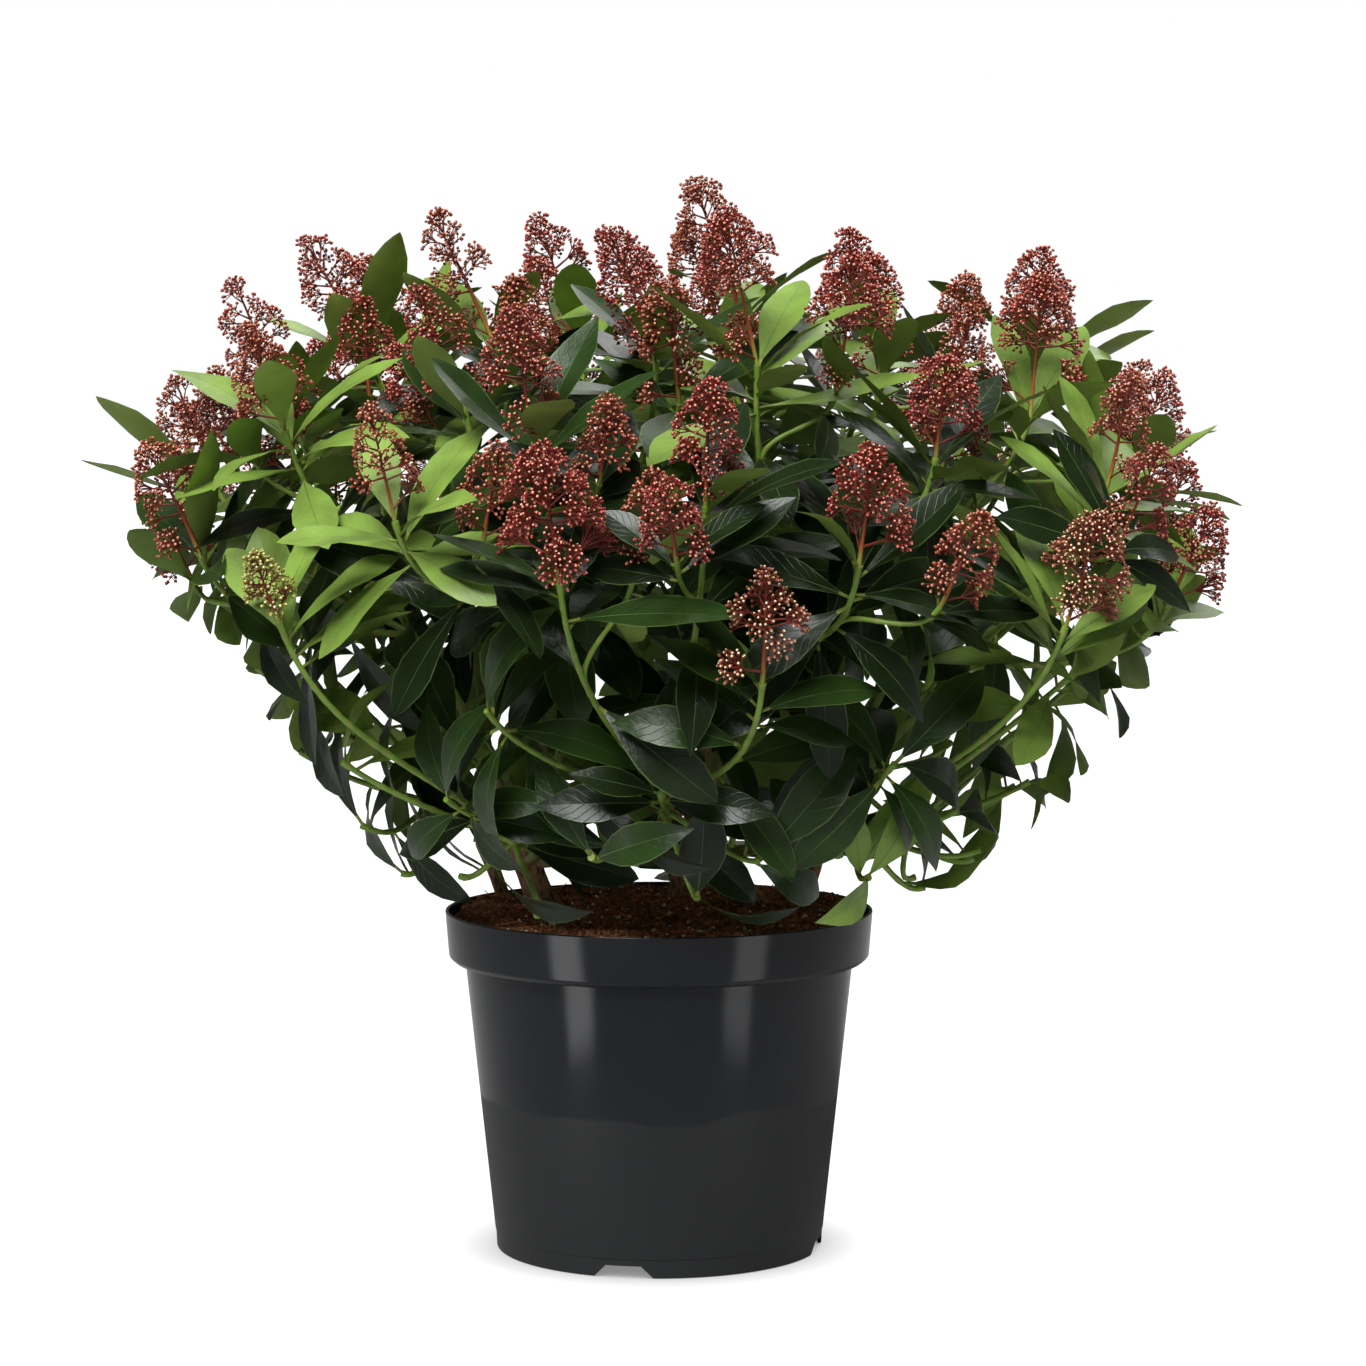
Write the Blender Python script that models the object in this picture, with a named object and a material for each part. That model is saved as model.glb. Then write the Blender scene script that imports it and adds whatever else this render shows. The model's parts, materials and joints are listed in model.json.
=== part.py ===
"""A skimmia in flower bud, standing in a ten-litre nursery pot.

Run it with blender --background --python part.py. Units are metres, Z is up, and the origin is the middle
of the pot's foot, on the ground. Five woody stems rise from the compost and fork into green boughs. Each
bough ends in a node, where a mass of foliage begins: a short stem that divides into shoots, each with a
spiral of leaves under a cone of flower buds.
"""

import math
import random

import bmesh
import bpy
import numpy
from mathutils import Matrix, Vector
from mathutils.bvhtree import BVHTree

GAP = 0.0003
HAIR = 0.00012
TRIANGULATIONS = (("BEAUTY", "BEAUTY"), ("SHORT_EDGE", "EAR_CLIP"), ("LONG_EDGE", "EAR_CLIP"), ("FIXED", "BEAUTY"))
WELD = 0.00000011
UP = Vector((0.0, 0.0, 1.0))
GOLDEN_ANGLE = math.pi * (3.0 - math.sqrt(5.0))

# The pot, a moulded shell with a deep rim band and a notched foot ring.
POT_SIDES = 48
RIM_RADIUS = 0.140
POT_HEIGHT = 0.222
BAND_HEIGHT = 0.033
BODY_TOP_RADIUS = 0.1270
FOOT_RADIUS = 0.1068
WALL = 0.0022
FLOOR_HEIGHT = 0.008
BOSS_RADIUS = 0.030
NOTCH_COUNT = 4
NOTCH_TURN = math.radians(-102.0)
NOTCH_FOOT_WIDTH = 0.036
NOTCH_TOP_WIDTH = 0.023
NOTCH_HEIGHT = 0.0078
DRAIN_RADIUS = 0.006
DRAIN_RING_RADIUS = 0.086

# The compost, flat where the stems stand and a little lower along the rim.
SOIL_EDGE_HEIGHT = 0.2125
SOIL_TOP_HEIGHT = 0.2165
SOIL_PLATEAU_RADIUS = 0.118

# The woody stems. Each has its foot on the compost, and its fork relative to the foot.
STEMS = {
    "stem_left": {"foot": (-0.074, 0.004), "fork": (-0.020, -0.008, 0.060), "radii": (0.0105, 0.0078)},
    "stem_left_side": {"foot": (-0.102, 0.048), "fork": (-0.020, 0.012, 0.048), "radii": (0.0048, 0.0040)},
    "stem_back": {"foot": (0.014, 0.078), "fork": (-0.010, 0.018, 0.078), "radii": (0.0072, 0.0058)},
    "stem_middle": {"foot": (0.066, 0.030), "fork": (-0.050, -0.030, 0.080), "radii": (0.0082, 0.0062)},
    "stem_right": {"foot": (0.092, 0.052), "fork": (0.022, 0.000, 0.072), "radii": (0.0088, 0.0066)},
}
FLARE = 1.35
FLARE_HEIGHT = 0.012

# The crown, a dome that is widest at its shoulders. Reach is measured from its centre on the compost.
CROWN_CENTRE = Vector((0.014, 0.008, SOIL_TOP_HEIGHT))
CROWN_DEPTH = 0.90
REACH_BY_POLAR = ((0, 0.470), (20, 0.480), (38, 0.508), (47, 0.502), (52, 0.470), (60, 0.385), (70, 0.300), (80, 0.245))
OUTLINE_BY_POLAR = (
    (0, 0.474), (20, 0.490), (40, 0.522), (48, 0.517), (52, 0.502), (58, 0.430), (66, 0.340), (76, 0.262),
    (93, 0.212), (94, 0.0),
)
SHOOT_COUNT = 90
CROWN_POLAR = math.radians(80.0)
FLOWERING_POLAR = math.radians(51.5)
LATE_SHOOTS = (44, 46, 49)
BOUGH_COUNT = 20
BOUGH_POLAR = math.radians(70.0)
NODE_SHARE = 0.60
SKELETON_SEED = 11

# Short boughs near the compost, each with one whorl of large hanging leaves.
LOW_AZIMUTHS = (-124, -68, -18, 84, 208)
LOW_NODE = (0.068, 0.050)
LOW_WHORL = (0.104, 0.080)

# Limbs and shoots.
BOUGH_RADII = (0.0040, 0.0029)
BOUGH_SIDES = 5
BOUGH_STEPS = 4
NODE_STEM_LENGTH = 0.020
SHOOT_RADII = (0.0024, 0.0019)
SHOOT_STEPS = 3
UPRIGHT_FLOWERING = 0.55
UPRIGHT_LEAFY = 0.15

# The flower head, a cone of buds on a short stalk.
HEAD_LENGTH = 0.082
HEAD_STALK = 0.014
HEAD_RADIUS = 0.0225
HEAD_SIDES = 5
HEAD_PROFILE = ((0.28, 1.00), (0.68, 0.72))

# The leaf, an eight-faced blade folded along its midrib.
LEAF_LENGTH = 0.095
LEAF_WIDTH_SHARE = 0.37
LEAF_THICKNESS = 0.0014
LEAF_WIDEST = 0.56
LEAF_FOLD = 0.10
LEAF_SINK = 0.0006
LEAF_POINTS = 6
LEAVES_PER_SHOOT = 4
LEAVES_PER_NODE = 2
LEAF_PITCH = 0.0055
LOW_LEAVES = 5
SPACE_MARGIN = 0.0008
LEAF_TRIES = 30


def smooth_between(table, value):
    """The value of a table of (place, height) at a place, eased between its rows."""
    if value <= table[0][0]:
        return table[0][1]
    for (start, low), (end, high) in zip(table, table[1:]):
        if value <= end:
            share = (value - start) / (end - start)
            share = share * share * (3.0 - 2.0 * share)
            return low + (high - low) * share
    return table[-1][1]


def crown_direction(polar, azimuth):
    return Vector(
        (
            math.sin(polar) * math.cos(azimuth),
            math.sin(polar) * math.sin(azimuth) * CROWN_DEPTH,
            math.cos(polar),
        )
    )


def crown_reach(polar):
    return smooth_between(REACH_BY_POLAR, math.degrees(polar))


def inside_outline(points):
    """Whether points stay within the crown's outline."""
    for point in points:
        offset = point - CROWN_CENTRE
        offset.y /= CROWN_DEPTH
        polar = math.degrees(offset.angle(UP, 0.0))
        if offset.length > smooth_between(OUTLINE_BY_POLAR, polar):
            return False
    return True


def spread_over_dome(count, widest_polar, turn):
    """Directions spread evenly over a dome by the golden angle, as (polar, azimuth)."""
    lowest = math.cos(widest_polar)
    for index in range(count):
        height = 1.0 - (index + 0.5) / count * (1.0 - lowest)
        yield math.acos(height), index * GOLDEN_ANGLE + turn


def bezier(start, start_pull, end_pull, end, steps):
    """Points and directions along one cubic curve."""
    found = []
    for step in range(steps + 1):
        t = step / steps
        s = 1.0 - t
        point = start * s**3 + start_pull * 3 * s * s * t + end_pull * 3 * s * t * t + end * t**3
        slope = (
            (start_pull - start) * 3 * s * s
            + (end_pull - start_pull) * 6 * s * t
            + (end - end_pull) * 3 * t * t
        )
        found.append((point, slope.normalized()))
    return found


def grow_skeleton():
    """The stems, boughs and shoots as plain values, which the shapes below are built on."""
    chance = random.Random(SKELETON_SEED)
    heads = [crown_direction(p, a) for p, a in spread_over_dome(BOUGH_COUNT, BOUGH_POLAR, 0.9)]
    shoots = []
    for index, (polar, azimuth) in enumerate(spread_over_dome(SHOOT_COUNT, CROWN_POLAR, 0.35)):
        polar = abs(polar + chance.uniform(-0.035, 0.035))
        azimuth += chance.uniform(-0.05, 0.05)
        outward = crown_direction(polar, azimuth)
        flowering = polar < FLOWERING_POLAR or index in LATE_SHOOTS
        upright = UPRIGHT_FLOWERING if flowering else UPRIGHT_LEAFY
        reach = crown_reach(polar) * chance.uniform(0.955, 1.02)
        heading = (outward * (1.0 - upright) + UP * upright).normalized()
        length = HEAD_LENGTH if flowering else LEAF_LENGTH * 0.8
        tip = CROWN_CENTRE + outward * reach
        size = chance.uniform(0.86, 1.1)
        nearest = max(range(len(heads)), key=lambda k: heads[k].normalized().dot(outward.normalized()))
        shoots.append(
            {
                "bough": nearest,
                "flowering": flowering,
                "whorl": tip - heading * length,
                "heading": heading,
                "polar": polar,
                "size": size,
            }
        )
    boughs = []
    for index in range(len(heads)):
        mine = [shoot for shoot in shoots if shoot["bough"] == index]
        middle = sum((shoot["whorl"] for shoot in mine), Vector()) / len(mine)
        node = CROWN_CENTRE + (middle - CROWN_CENTRE) * NODE_SHARE
        boughs.append({"node": node, "shoots": mine, "middle": middle})
    for degrees in LOW_AZIMUTHS:
        azimuth = math.radians(degrees)
        out = Vector((math.cos(azimuth), math.sin(azimuth), 0.0))
        node = CROWN_CENTRE + out * LOW_NODE[0] + UP * LOW_NODE[1]
        whorl = CROWN_CENTRE + out * LOW_WHORL[0] + UP * LOW_WHORL[1]
        shoot = {
            "flowering": False,
            "whorl": whorl,
            "heading": (out * 0.9 + UP * 0.35).normalized(),
            "polar": math.radians(90.0),
            "size": 1.0,
        }
        boughs.append({"node": node, "shoots": [shoot], "middle": whorl, "low": True})
    for index, bough in enumerate(boughs):
        for rank, shoot in enumerate(bough["shoots"]):
            shoot["rank"] = rank
        bough["name"] = f"bough_{index + 1:02d}"
        bough["stem"] = min(STEMS, key=lambda name: (stem_fork(name) - bough["node"]).xy.length)
    return boughs


def stem_foot(name):
    return Vector((*STEMS[name]["foot"], SOIL_TOP_HEIGHT + GAP))


def stem_fork(name):
    return stem_foot(name) + Vector(STEMS[name]["fork"])


def bough_path(bough):
    """A bough leaves its stem outwards, and turns up towards its node."""
    foot, fork = stem_foot(bough["stem"]), stem_fork(bough["stem"])
    out = (bough["node"] - fork).normalized()
    lean = math.acos(max(-1.0, min(1.0, out.z)))
    start = fork.lerp(foot, 0.10 + 0.28 * lean / math.pi * 2)
    run = (bough["node"] - start).length
    rise = (out * 0.8 + UP * 0.2).normalized()
    arrive = ((bough["middle"] - bough["node"]).normalized() * 0.8 + out * 0.5).normalized()
    return bezier(start, start + rise * run * 0.3, bough["node"] - arrive * run * 0.35, bough["node"], BOUGH_STEPS)


def shoot_path(node, arrive, shoot):
    """A shoot leaves the node sideways, each a little lower than the last, and rises to its whorl of leaves."""
    start = node - arrive * (0.002 + 0.0016 * shoot["rank"])
    run = shoot["whorl"] - start
    sideways = (run - arrive * run.dot(arrive)).normalized()
    leave = (arrive * 0.75 + sideways * 0.66).normalized()
    start_pull = start + leave * run.length * 0.28
    end_pull = shoot["whorl"] - shoot["heading"] * run.length * 0.38
    return bezier(start, start_pull, end_pull, shoot["whorl"], SHOOT_STEPS)


def across(direction):
    """Two unit vectors square to a direction."""
    side = direction.cross(UP)
    if side.length < 0.05:
        side = direction.cross(Vector((1.0, 0.0, 0.0)))
    side.normalize()
    return side, side.cross(direction).normalized()


def mesh_object(name, points, faces, collection=None):
    mesh = bpy.data.meshes.new(name)
    mesh.from_pydata([tuple(point) for point in points], [], faces)
    mesh.update()
    made = bpy.data.objects.new(name, mesh)
    (collection or bpy.context.scene.collection).objects.link(made)
    return made


def tube_shape(path, radii, sides, turn=0.0):
    """A closed round limb along a path of (point, direction), with flat ends."""
    points, faces = [], []
    side = across(path[0][1])[0]
    for (point, direction), radius in zip(path, radii):
        side = (side - direction * side.dot(direction)).normalized()
        other = direction.cross(side)
        for corner in range(sides):
            angle = turn + 2 * math.pi * corner / sides
            points.append(point + (side * math.cos(angle) + other * math.sin(angle)) * radius)
    for ring in range(len(path) - 1):
        for corner in range(sides):
            low, high = ring * sides, (ring + 1) * sides
            after = (corner + 1) % sides
            faces.append((low + corner, low + after, high + after, high + corner))
    faces.append(tuple(reversed(range(sides))))
    faces.append(tuple(range((len(path) - 1) * sides, len(path) * sides)))
    return points, faces


def tapered(radii, count):
    return [radii[0] + (radii[1] - radii[0]) * index / (count - 1) for index in range(count)]


def turned_shape(profile, sides):
    """A closed solid turned about Z from (radius, height) points, which start and end on the axis."""
    points = [Vector((0.0, 0.0, profile[0][1]))]
    faces = []
    for radius, height in profile[1:-1]:
        for corner in range(sides):
            angle = 2 * math.pi * corner / sides
            points.append(Vector((radius * math.cos(angle), radius * math.sin(angle), height)))
    points.append(Vector((0.0, 0.0, profile[-1][1])))
    rings = len(profile) - 2
    for corner in range(sides):
        after = (corner + 1) % sides
        faces.append((0, 1 + after, 1 + corner))
        for ring in range(rings - 1):
            low, high = 1 + ring * sides, 1 + (ring + 1) * sides
            faces.append((low + corner, low + after, high + after, high + corner))
        top = 1 + (rings - 1) * sides
        faces.append((top + corner, top + after, len(points) - 1))
    return points, faces


def keep_main_body(mesh):
    """Keeps the largest body, which drops loose scraps and fills sealed hollows. Gives its first flaw."""
    shape = bmesh.new()
    shape.from_mesh(mesh)
    bmesh.ops.remove_doubles(shape, verts=shape.verts, dist=WELD)
    bodies = []
    unseen = set(shape.verts)
    while unseen:
        body, waiting = set(), [next(iter(unseen))]
        while waiting:
            vertex = waiting.pop()
            if vertex in body:
                continue
            body.add(vertex)
            waiting.extend(edge.other_vert(vertex) for edge in vertex.link_edges)
        unseen -= body
        bodies.append(body)
    main = max(bodies, key=len)
    bmesh.ops.delete(shape, geom=[v for v in shape.verts if v not in main], context="VERTS")
    for way in TRIANGULATIONS:
        trial = shape.copy()
        bmesh.ops.triangulate(trial, faces=trial.faces[:], quad_method=way[0], ngon_method=way[1])
        flaws = [edge.verts[0].co.copy() for edge in trial.edges if len(edge.link_faces) != 2]
        trial.to_mesh(mesh)
        trial.free()
        if not flaws:
            break
    shape.free()
    return flaws[0] if flaws else None


def nearest_shape(place, shapes):
    """The index of the shape whose surface is nearest a place."""
    distances = [BVHTree.FromPolygons(*shape).find_nearest(place)[3] for shape in shapes]
    return distances.index(min(distances))


def fused_mesh(name, operation, first, others, solver):
    """One Boolean on a collection of shapes, applied, with the collection's shapes then removed."""
    thing = mesh_object(name, *first)
    tools = bpy.data.collections.new(name + "_tools")
    bpy.context.scene.collection.children.link(tools)
    for points, faces in others:
        mesh_object(name + "_tool", points, faces, tools)
    modifier = thing.modifiers.new("fuse", "BOOLEAN")
    modifier.operation = operation
    modifier.operand_type = "COLLECTION"
    modifier.collection = tools
    modifier.solver = solver
    graph = bpy.context.evaluated_depsgraph_get()
    mesh = bpy.data.meshes.new_from_object(thing.evaluated_get(graph))
    for tool in list(tools.objects):
        bpy.data.objects.remove(tool)
    bpy.data.collections.remove(tools)
    bpy.data.objects.remove(thing)
    return mesh


def fuse(name, operation, first, others):
    """Fuses or cuts shapes. Where two only just touch, so that neither solver gives a closed body, the one
    nearest the flaw is moved by a hair, and a leaf that still fails is left out."""
    others = list(others)
    chance = random.Random(name)
    for attempt in range(60):
        for solver in ("EXACT", "MANIFOLD"):
            mesh = fused_mesh(name, operation, first, others, solver)
            flaw = keep_main_body(mesh)
            if flaw is None:
                thing = bpy.data.objects.new(name, mesh)
                bpy.context.scene.collection.objects.link(thing)
                return thing
        index = nearest_shape(flaw, others)
        points, faces = others.pop(index)
        if attempt % 6 < 5 or len(points) != LEAF_POINTS:
            shift = Vector([chance.uniform(-HAIR, HAIR) for axis in range(3)])
            others.insert(index, ([point + shift for point in points], faces))
    raise RuntimeError(name + " can't be fused")


def tree_of(shapes):
    """One search tree over several (points, faces) shapes."""
    points, faces = [], []
    for shape_points, shape_faces in shapes:
        start = len(points)
        points.extend(shape_points)
        faces.extend(tuple(start + corner for corner in face) for face in shape_faces)
    return BVHTree.FromPolygons(points, faces)


def plain_material(name, colour, roughness, metallic=0.0):
    made = bpy.data.materials.new(name)
    made.use_nodes = True
    shader = made.node_tree.nodes["Principled BSDF"]
    shader.inputs["Base Color"].default_value = (*colour, 1.0)
    shader.inputs["Roughness"].default_value = roughness
    shader.inputs["Metallic"].default_value = metallic
    return made


def shade(thing, material, smooth):
    thing.data.materials.clear()
    thing.data.materials.append(material)
    if smooth:
        thing.data.shade_smooth()
        thing.data.set_sharp_from_angle(angle=math.radians(35))


# The pot and its compost.


def pot_profile():
    """The shell's section: underside, outer wall, rim and inner wall, from the axis back to the axis."""
    foot_inner = FOOT_RADIUS - WALL - 0.0004
    ledge = POT_HEIGHT - BAND_HEIGHT
    return (
        (0.0, 0.0),
        (BOSS_RADIUS, 0.0),
        (BOSS_RADIUS, FLOOR_HEIGHT),
        (foot_inner, FLOOR_HEIGHT),
        (foot_inner, 0.0),
        (FOOT_RADIUS, 0.0),
        (BODY_TOP_RADIUS, ledge),
        (RIM_RADIUS - 0.0062, ledge),
        (RIM_RADIUS - 0.0024, ledge + 0.0034),
        (RIM_RADIUS, POT_HEIGHT),
        (RIM_RADIUS - WALL, POT_HEIGHT),
        (RIM_RADIUS - 0.0024 - WALL, ledge + 0.0048),
        (BODY_TOP_RADIUS - WALL, ledge + WALL),
        (FOOT_RADIUS - WALL + 0.0008, FLOOR_HEIGHT + WALL),
        (0.0, FLOOR_HEIGHT + WALL),
    )


def notch_shape(angle):
    """A wedge that opens the foot ring, wider at the ground than at its top."""
    inner, outer = FOOT_RADIUS - 0.012, FOOT_RADIUS + 0.006
    turn = Matrix.Rotation(angle, 4, "Z")
    corners = []
    for radius in (inner, outer):
        for width, height in ((NOTCH_FOOT_WIDTH * 1.13, -0.001), (NOTCH_TOP_WIDTH, NOTCH_HEIGHT)):
            for side in (-0.5, 0.5):
                corners.append(turn @ Vector((radius, width * side, height)))
    return corners, [(0, 2, 3, 1), (4, 5, 7, 6), (0, 1, 5, 4), (2, 6, 7, 3), (0, 4, 6, 2), (1, 3, 7, 5)]


def drain_shape(angle):
    """A round drain hole through the raised floor, in line with a notch."""
    centre = Vector((math.cos(angle), math.sin(angle), 0.0)) * DRAIN_RING_RADIUS
    path = [(centre + UP * height, UP) for height in (FLOOR_HEIGHT - 0.004, FLOOR_HEIGHT + 0.006)]
    return tube_shape(path, [DRAIN_RADIUS] * 2, 12)


def make_pot(material):
    angles = [NOTCH_TURN + 2 * math.pi * index / NOTCH_COUNT for index in range(NOTCH_COUNT)]
    cuts = [notch_shape(angle) for angle in angles] + [drain_shape(angle) for angle in angles]
    pot = fuse("pot", "DIFFERENCE", turned_shape(pot_profile(), POT_SIDES), cuts)
    shade(pot, material, True)
    return pot


def make_soil(material):
    """The compost fills the pot, clear of its wall by the gap."""
    ledge = POT_HEIGHT - BAND_HEIGHT
    clear = GAP / math.cos(math.pi / POT_SIDES)
    profile = (
        (0.0, FLOOR_HEIGHT + WALL + GAP),
        (FOOT_RADIUS - WALL + 0.0008 - clear, FLOOR_HEIGHT + WALL + GAP),
        (BODY_TOP_RADIUS - WALL - clear, ledge + WALL + GAP),
        (RIM_RADIUS - 0.0024 - WALL - clear, ledge + 0.0048 + GAP),
        (RIM_RADIUS - 0.0014 - WALL - clear, SOIL_EDGE_HEIGHT),
        (SOIL_PLATEAU_RADIUS, SOIL_TOP_HEIGHT),
        (0.0, SOIL_TOP_HEIGHT),
    )
    soil = mesh_object("soil", *turned_shape(profile, POT_SIDES))
    shade(soil, material, False)
    return soil


# The limbs.


def stem_shape(name, extra=0.0):
    """A woody stem from its flat cut on the compost to its fork, with a root flare."""
    foot, fork = stem_foot(name), stem_fork(name)
    thick, thin = STEMS[name]["radii"]
    run = fork - foot
    bulge = Vector((run.y, -run.x, 0.0)) * 0.06
    path, radii = [], []
    for height in (0.0, 0.35 * FLARE_HEIGHT, FLARE_HEIGHT, 0.45 * run.z, 0.75 * run.z, run.z):
        share = height / run.z
        path.append((foot + run * share + bulge * math.sin(math.pi * share), UP))
        flare = 1.0 + (FLARE - 1.0) * max(0.0, 1.0 - height / FLARE_HEIGHT) ** 1.5
        radii.append((thick + (thin - thick) * share) * flare + extra)
    if extra:
        path[-1] = (path[-1][0] + UP * extra, UP)
    return tube_shape(path, radii, 8)


def bough_shape(bough, extra=0.0):
    path = bough_path(bough)
    radii = [radius + extra for radius in tapered(BOUGH_RADII, len(path))]
    if extra:
        end, direction = path[-1]
        path[-1] = (end + direction * extra, direction)
    return tube_shape(path, radii, BOUGH_SIDES)


def make_limbs(boughs, bark, green):
    """Each stem, then its boughs, every one cut clear of the stem and of the boughs before it."""
    for name in STEMS:
        stem = mesh_object(name, *stem_shape(name))
        shade(stem, bark, True)
        cut_by = [stem_shape(name, GAP * 1.5)]
        for bough in boughs:
            if bough["stem"] != name:
                continue
            limb = fuse(bough["name"], "DIFFERENCE", bough_shape(bough), cut_by)
            shade(limb, green, True)
            cut_by.append(bough_shape(bough, GAP * 1.5))


# The foliage.


def leaf_shape(root, direction, facing, length, curl):
    """An eight-faced blade: pointed at both ends, folded up from its midrib, and arched over."""
    side = direction.cross(facing).normalized()
    facing = side.cross(direction).normalized()
    half = length * LEAF_WIDTH_SHARE / 2
    start = root - direction * LEAF_SINK
    widest = root + direction * length * LEAF_WIDEST - facing * curl * length * 0.30
    middle = root + direction * length * 0.50 - facing * curl * length * 0.20
    tip = root + direction * length - facing * curl * length
    points = (
        start,
        widest - side * half + facing * half * 2 * LEAF_FOLD,
        tip,
        widest + side * half + facing * half * 2 * LEAF_FOLD,
        middle + facing * LEAF_THICKNESS / 2,
        middle - facing * LEAF_THICKNESS / 2,
    )
    faces = [(0, 4, 1), (1, 4, 2), (2, 4, 3), (3, 4, 0), (0, 1, 5), (1, 2, 5), (2, 3, 5), (3, 0, 5)]
    return points, faces


def head_shape(base, heading, size):
    """A flower head as a faceted cone of the size of its buds."""
    side, other = across(heading)
    length, radius = (HEAD_LENGTH - HEAD_STALK) * size, HEAD_RADIUS * size
    points = [base + heading * (HEAD_STALK - 0.004)]
    for share, width in HEAD_PROFILE:
        for corner in range(HEAD_SIDES):
            angle = 2 * math.pi * (corner + 0.5 * share) / HEAD_SIDES
            out = side * math.cos(angle) + other * math.sin(angle)
            points.append(base + heading * (HEAD_STALK + length * share) + out * radius * width)
    points.append(base + heading * (HEAD_STALK + length))
    faces = []
    rings = len(HEAD_PROFILE)
    for corner in range(HEAD_SIDES):
        after = (corner + 1) % HEAD_SIDES
        faces.append((0, 1 + corner, 1 + after))
        for ring in range(rings - 1):
            low, high = 1 + ring * HEAD_SIDES, 1 + (ring + 1) * HEAD_SIDES
            faces.append((low + corner, high + corner, high + after, low + after))
        top = 1 + (rings - 1) * HEAD_SIDES
        faces.append((top + corner, len(points) - 1, top + after))
    return points, faces


class Spaces:
    """The crown shared out among the masses, each with sites along its shoots. A shape keeps to the space of
    its mass when all its points are nearer to one of the mass's sites than to any site of another mass."""

    def __init__(self, obstacles):
        self.masses = []
        self.sites = []
        self.obstacles = obstacles

    def add(self, mass, site):
        self.masses.append(mass)
        self.sites.append(site)

    def settle(self):
        """Works out the planes half-way between each site and the sites of the other masses."""
        masses = numpy.array(self.masses)
        sites = numpy.array([tuple(site) for site in self.sites])
        self.walls = {}
        for mass, site in zip(self.masses, sites):
            others = sites[masses != mass] - site
            apart = numpy.linalg.norm(others, axis=1)
            normals = others / apart[:, None]
            self.walls.setdefault(mass, []).append((normals, normals @ site + apart / 2 - SPACE_MARGIN))

    def holds(self, mass, points):
        spots = numpy.array([tuple(point) for point in points])
        return any((spots @ normals.T <= limits).all() for normals, limits in self.walls[mass])

    def clear(self, tree):
        """Whether a shape's search tree stays off every limb, the pot and the compost."""
        return not tree.overlap(self.obstacles)


def place_below_tip(path, distance):
    """The point and direction on a twig's middle line, at a distance back from its tip."""
    for (start, direction), (end, _) in zip(path[-2::-1], path[:0:-1]):
        run = (end - start).length
        if distance <= run:
            break
        distance -= run
    distance = min(distance, run)
    along = (end - start).normalized()
    return end - along * distance, along


def leaf_spiral(spaces, mass, path, count, tilts, chance, size, droop, grown):
    """Leaves in a spiral down the end of a twig, clear of what has grown. One that fits nowhere is skipped."""
    shapes = []
    turn = chance.uniform(0, 2 * math.pi)
    for index in range(count):
        root, direction = place_below_tip(path, LEAF_PITCH * (index + 0.6))
        side, other = across(direction)
        tilt = tilts[0] + (tilts[1] - tilts[0]) * index / max(1, count - 1)
        for attempt in range(LEAF_TRIES):
            angle = turn + GOLDEN_ANGLE * index + chance.uniform(-1, 1) * (0.15 + 0.10 * attempt)
            lean = math.radians(tilt + chance.uniform(-1, 1) * (6 + 1.4 * attempt))
            length = LEAF_LENGTH * size * chance.uniform(0.88, 1.08) * (1.0 - 0.008 * attempt)
            out = side * math.cos(angle) + other * math.sin(angle)
            along = direction * math.cos(lean) + out * math.sin(lean)
            facing = direction * math.sin(lean) - out * math.cos(lean)
            along = (along - UP * droop * max(0.0, 1.0 - abs(along.z))).normalized()
            shape = leaf_shape(root, along, facing, length, chance.uniform(0.04, 0.16))
            if not (inside_outline(shape[0][1:4]) and spaces.holds(mass, shape[0])):
                continue
            tree = BVHTree.FromPolygons(*shape)
            if spaces.clear(tree) and not any(tree.overlap(other) for other in grown):
                shapes.append(shape)
                grown.append(tree)
                break
    return shapes


def twig_fits(spaces, mass, twig, sides):
    """Whether every length of a twig keeps to its mass's space, and the twig touches nothing."""
    points = twig[0]
    rings = [points[start : start + 2 * sides] for start in range(0, len(points) - sides, sides)]
    return all(spaces.holds(mass, ring) for ring in rings) and spaces.clear(BVHTree.FromPolygons(*twig))


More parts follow.
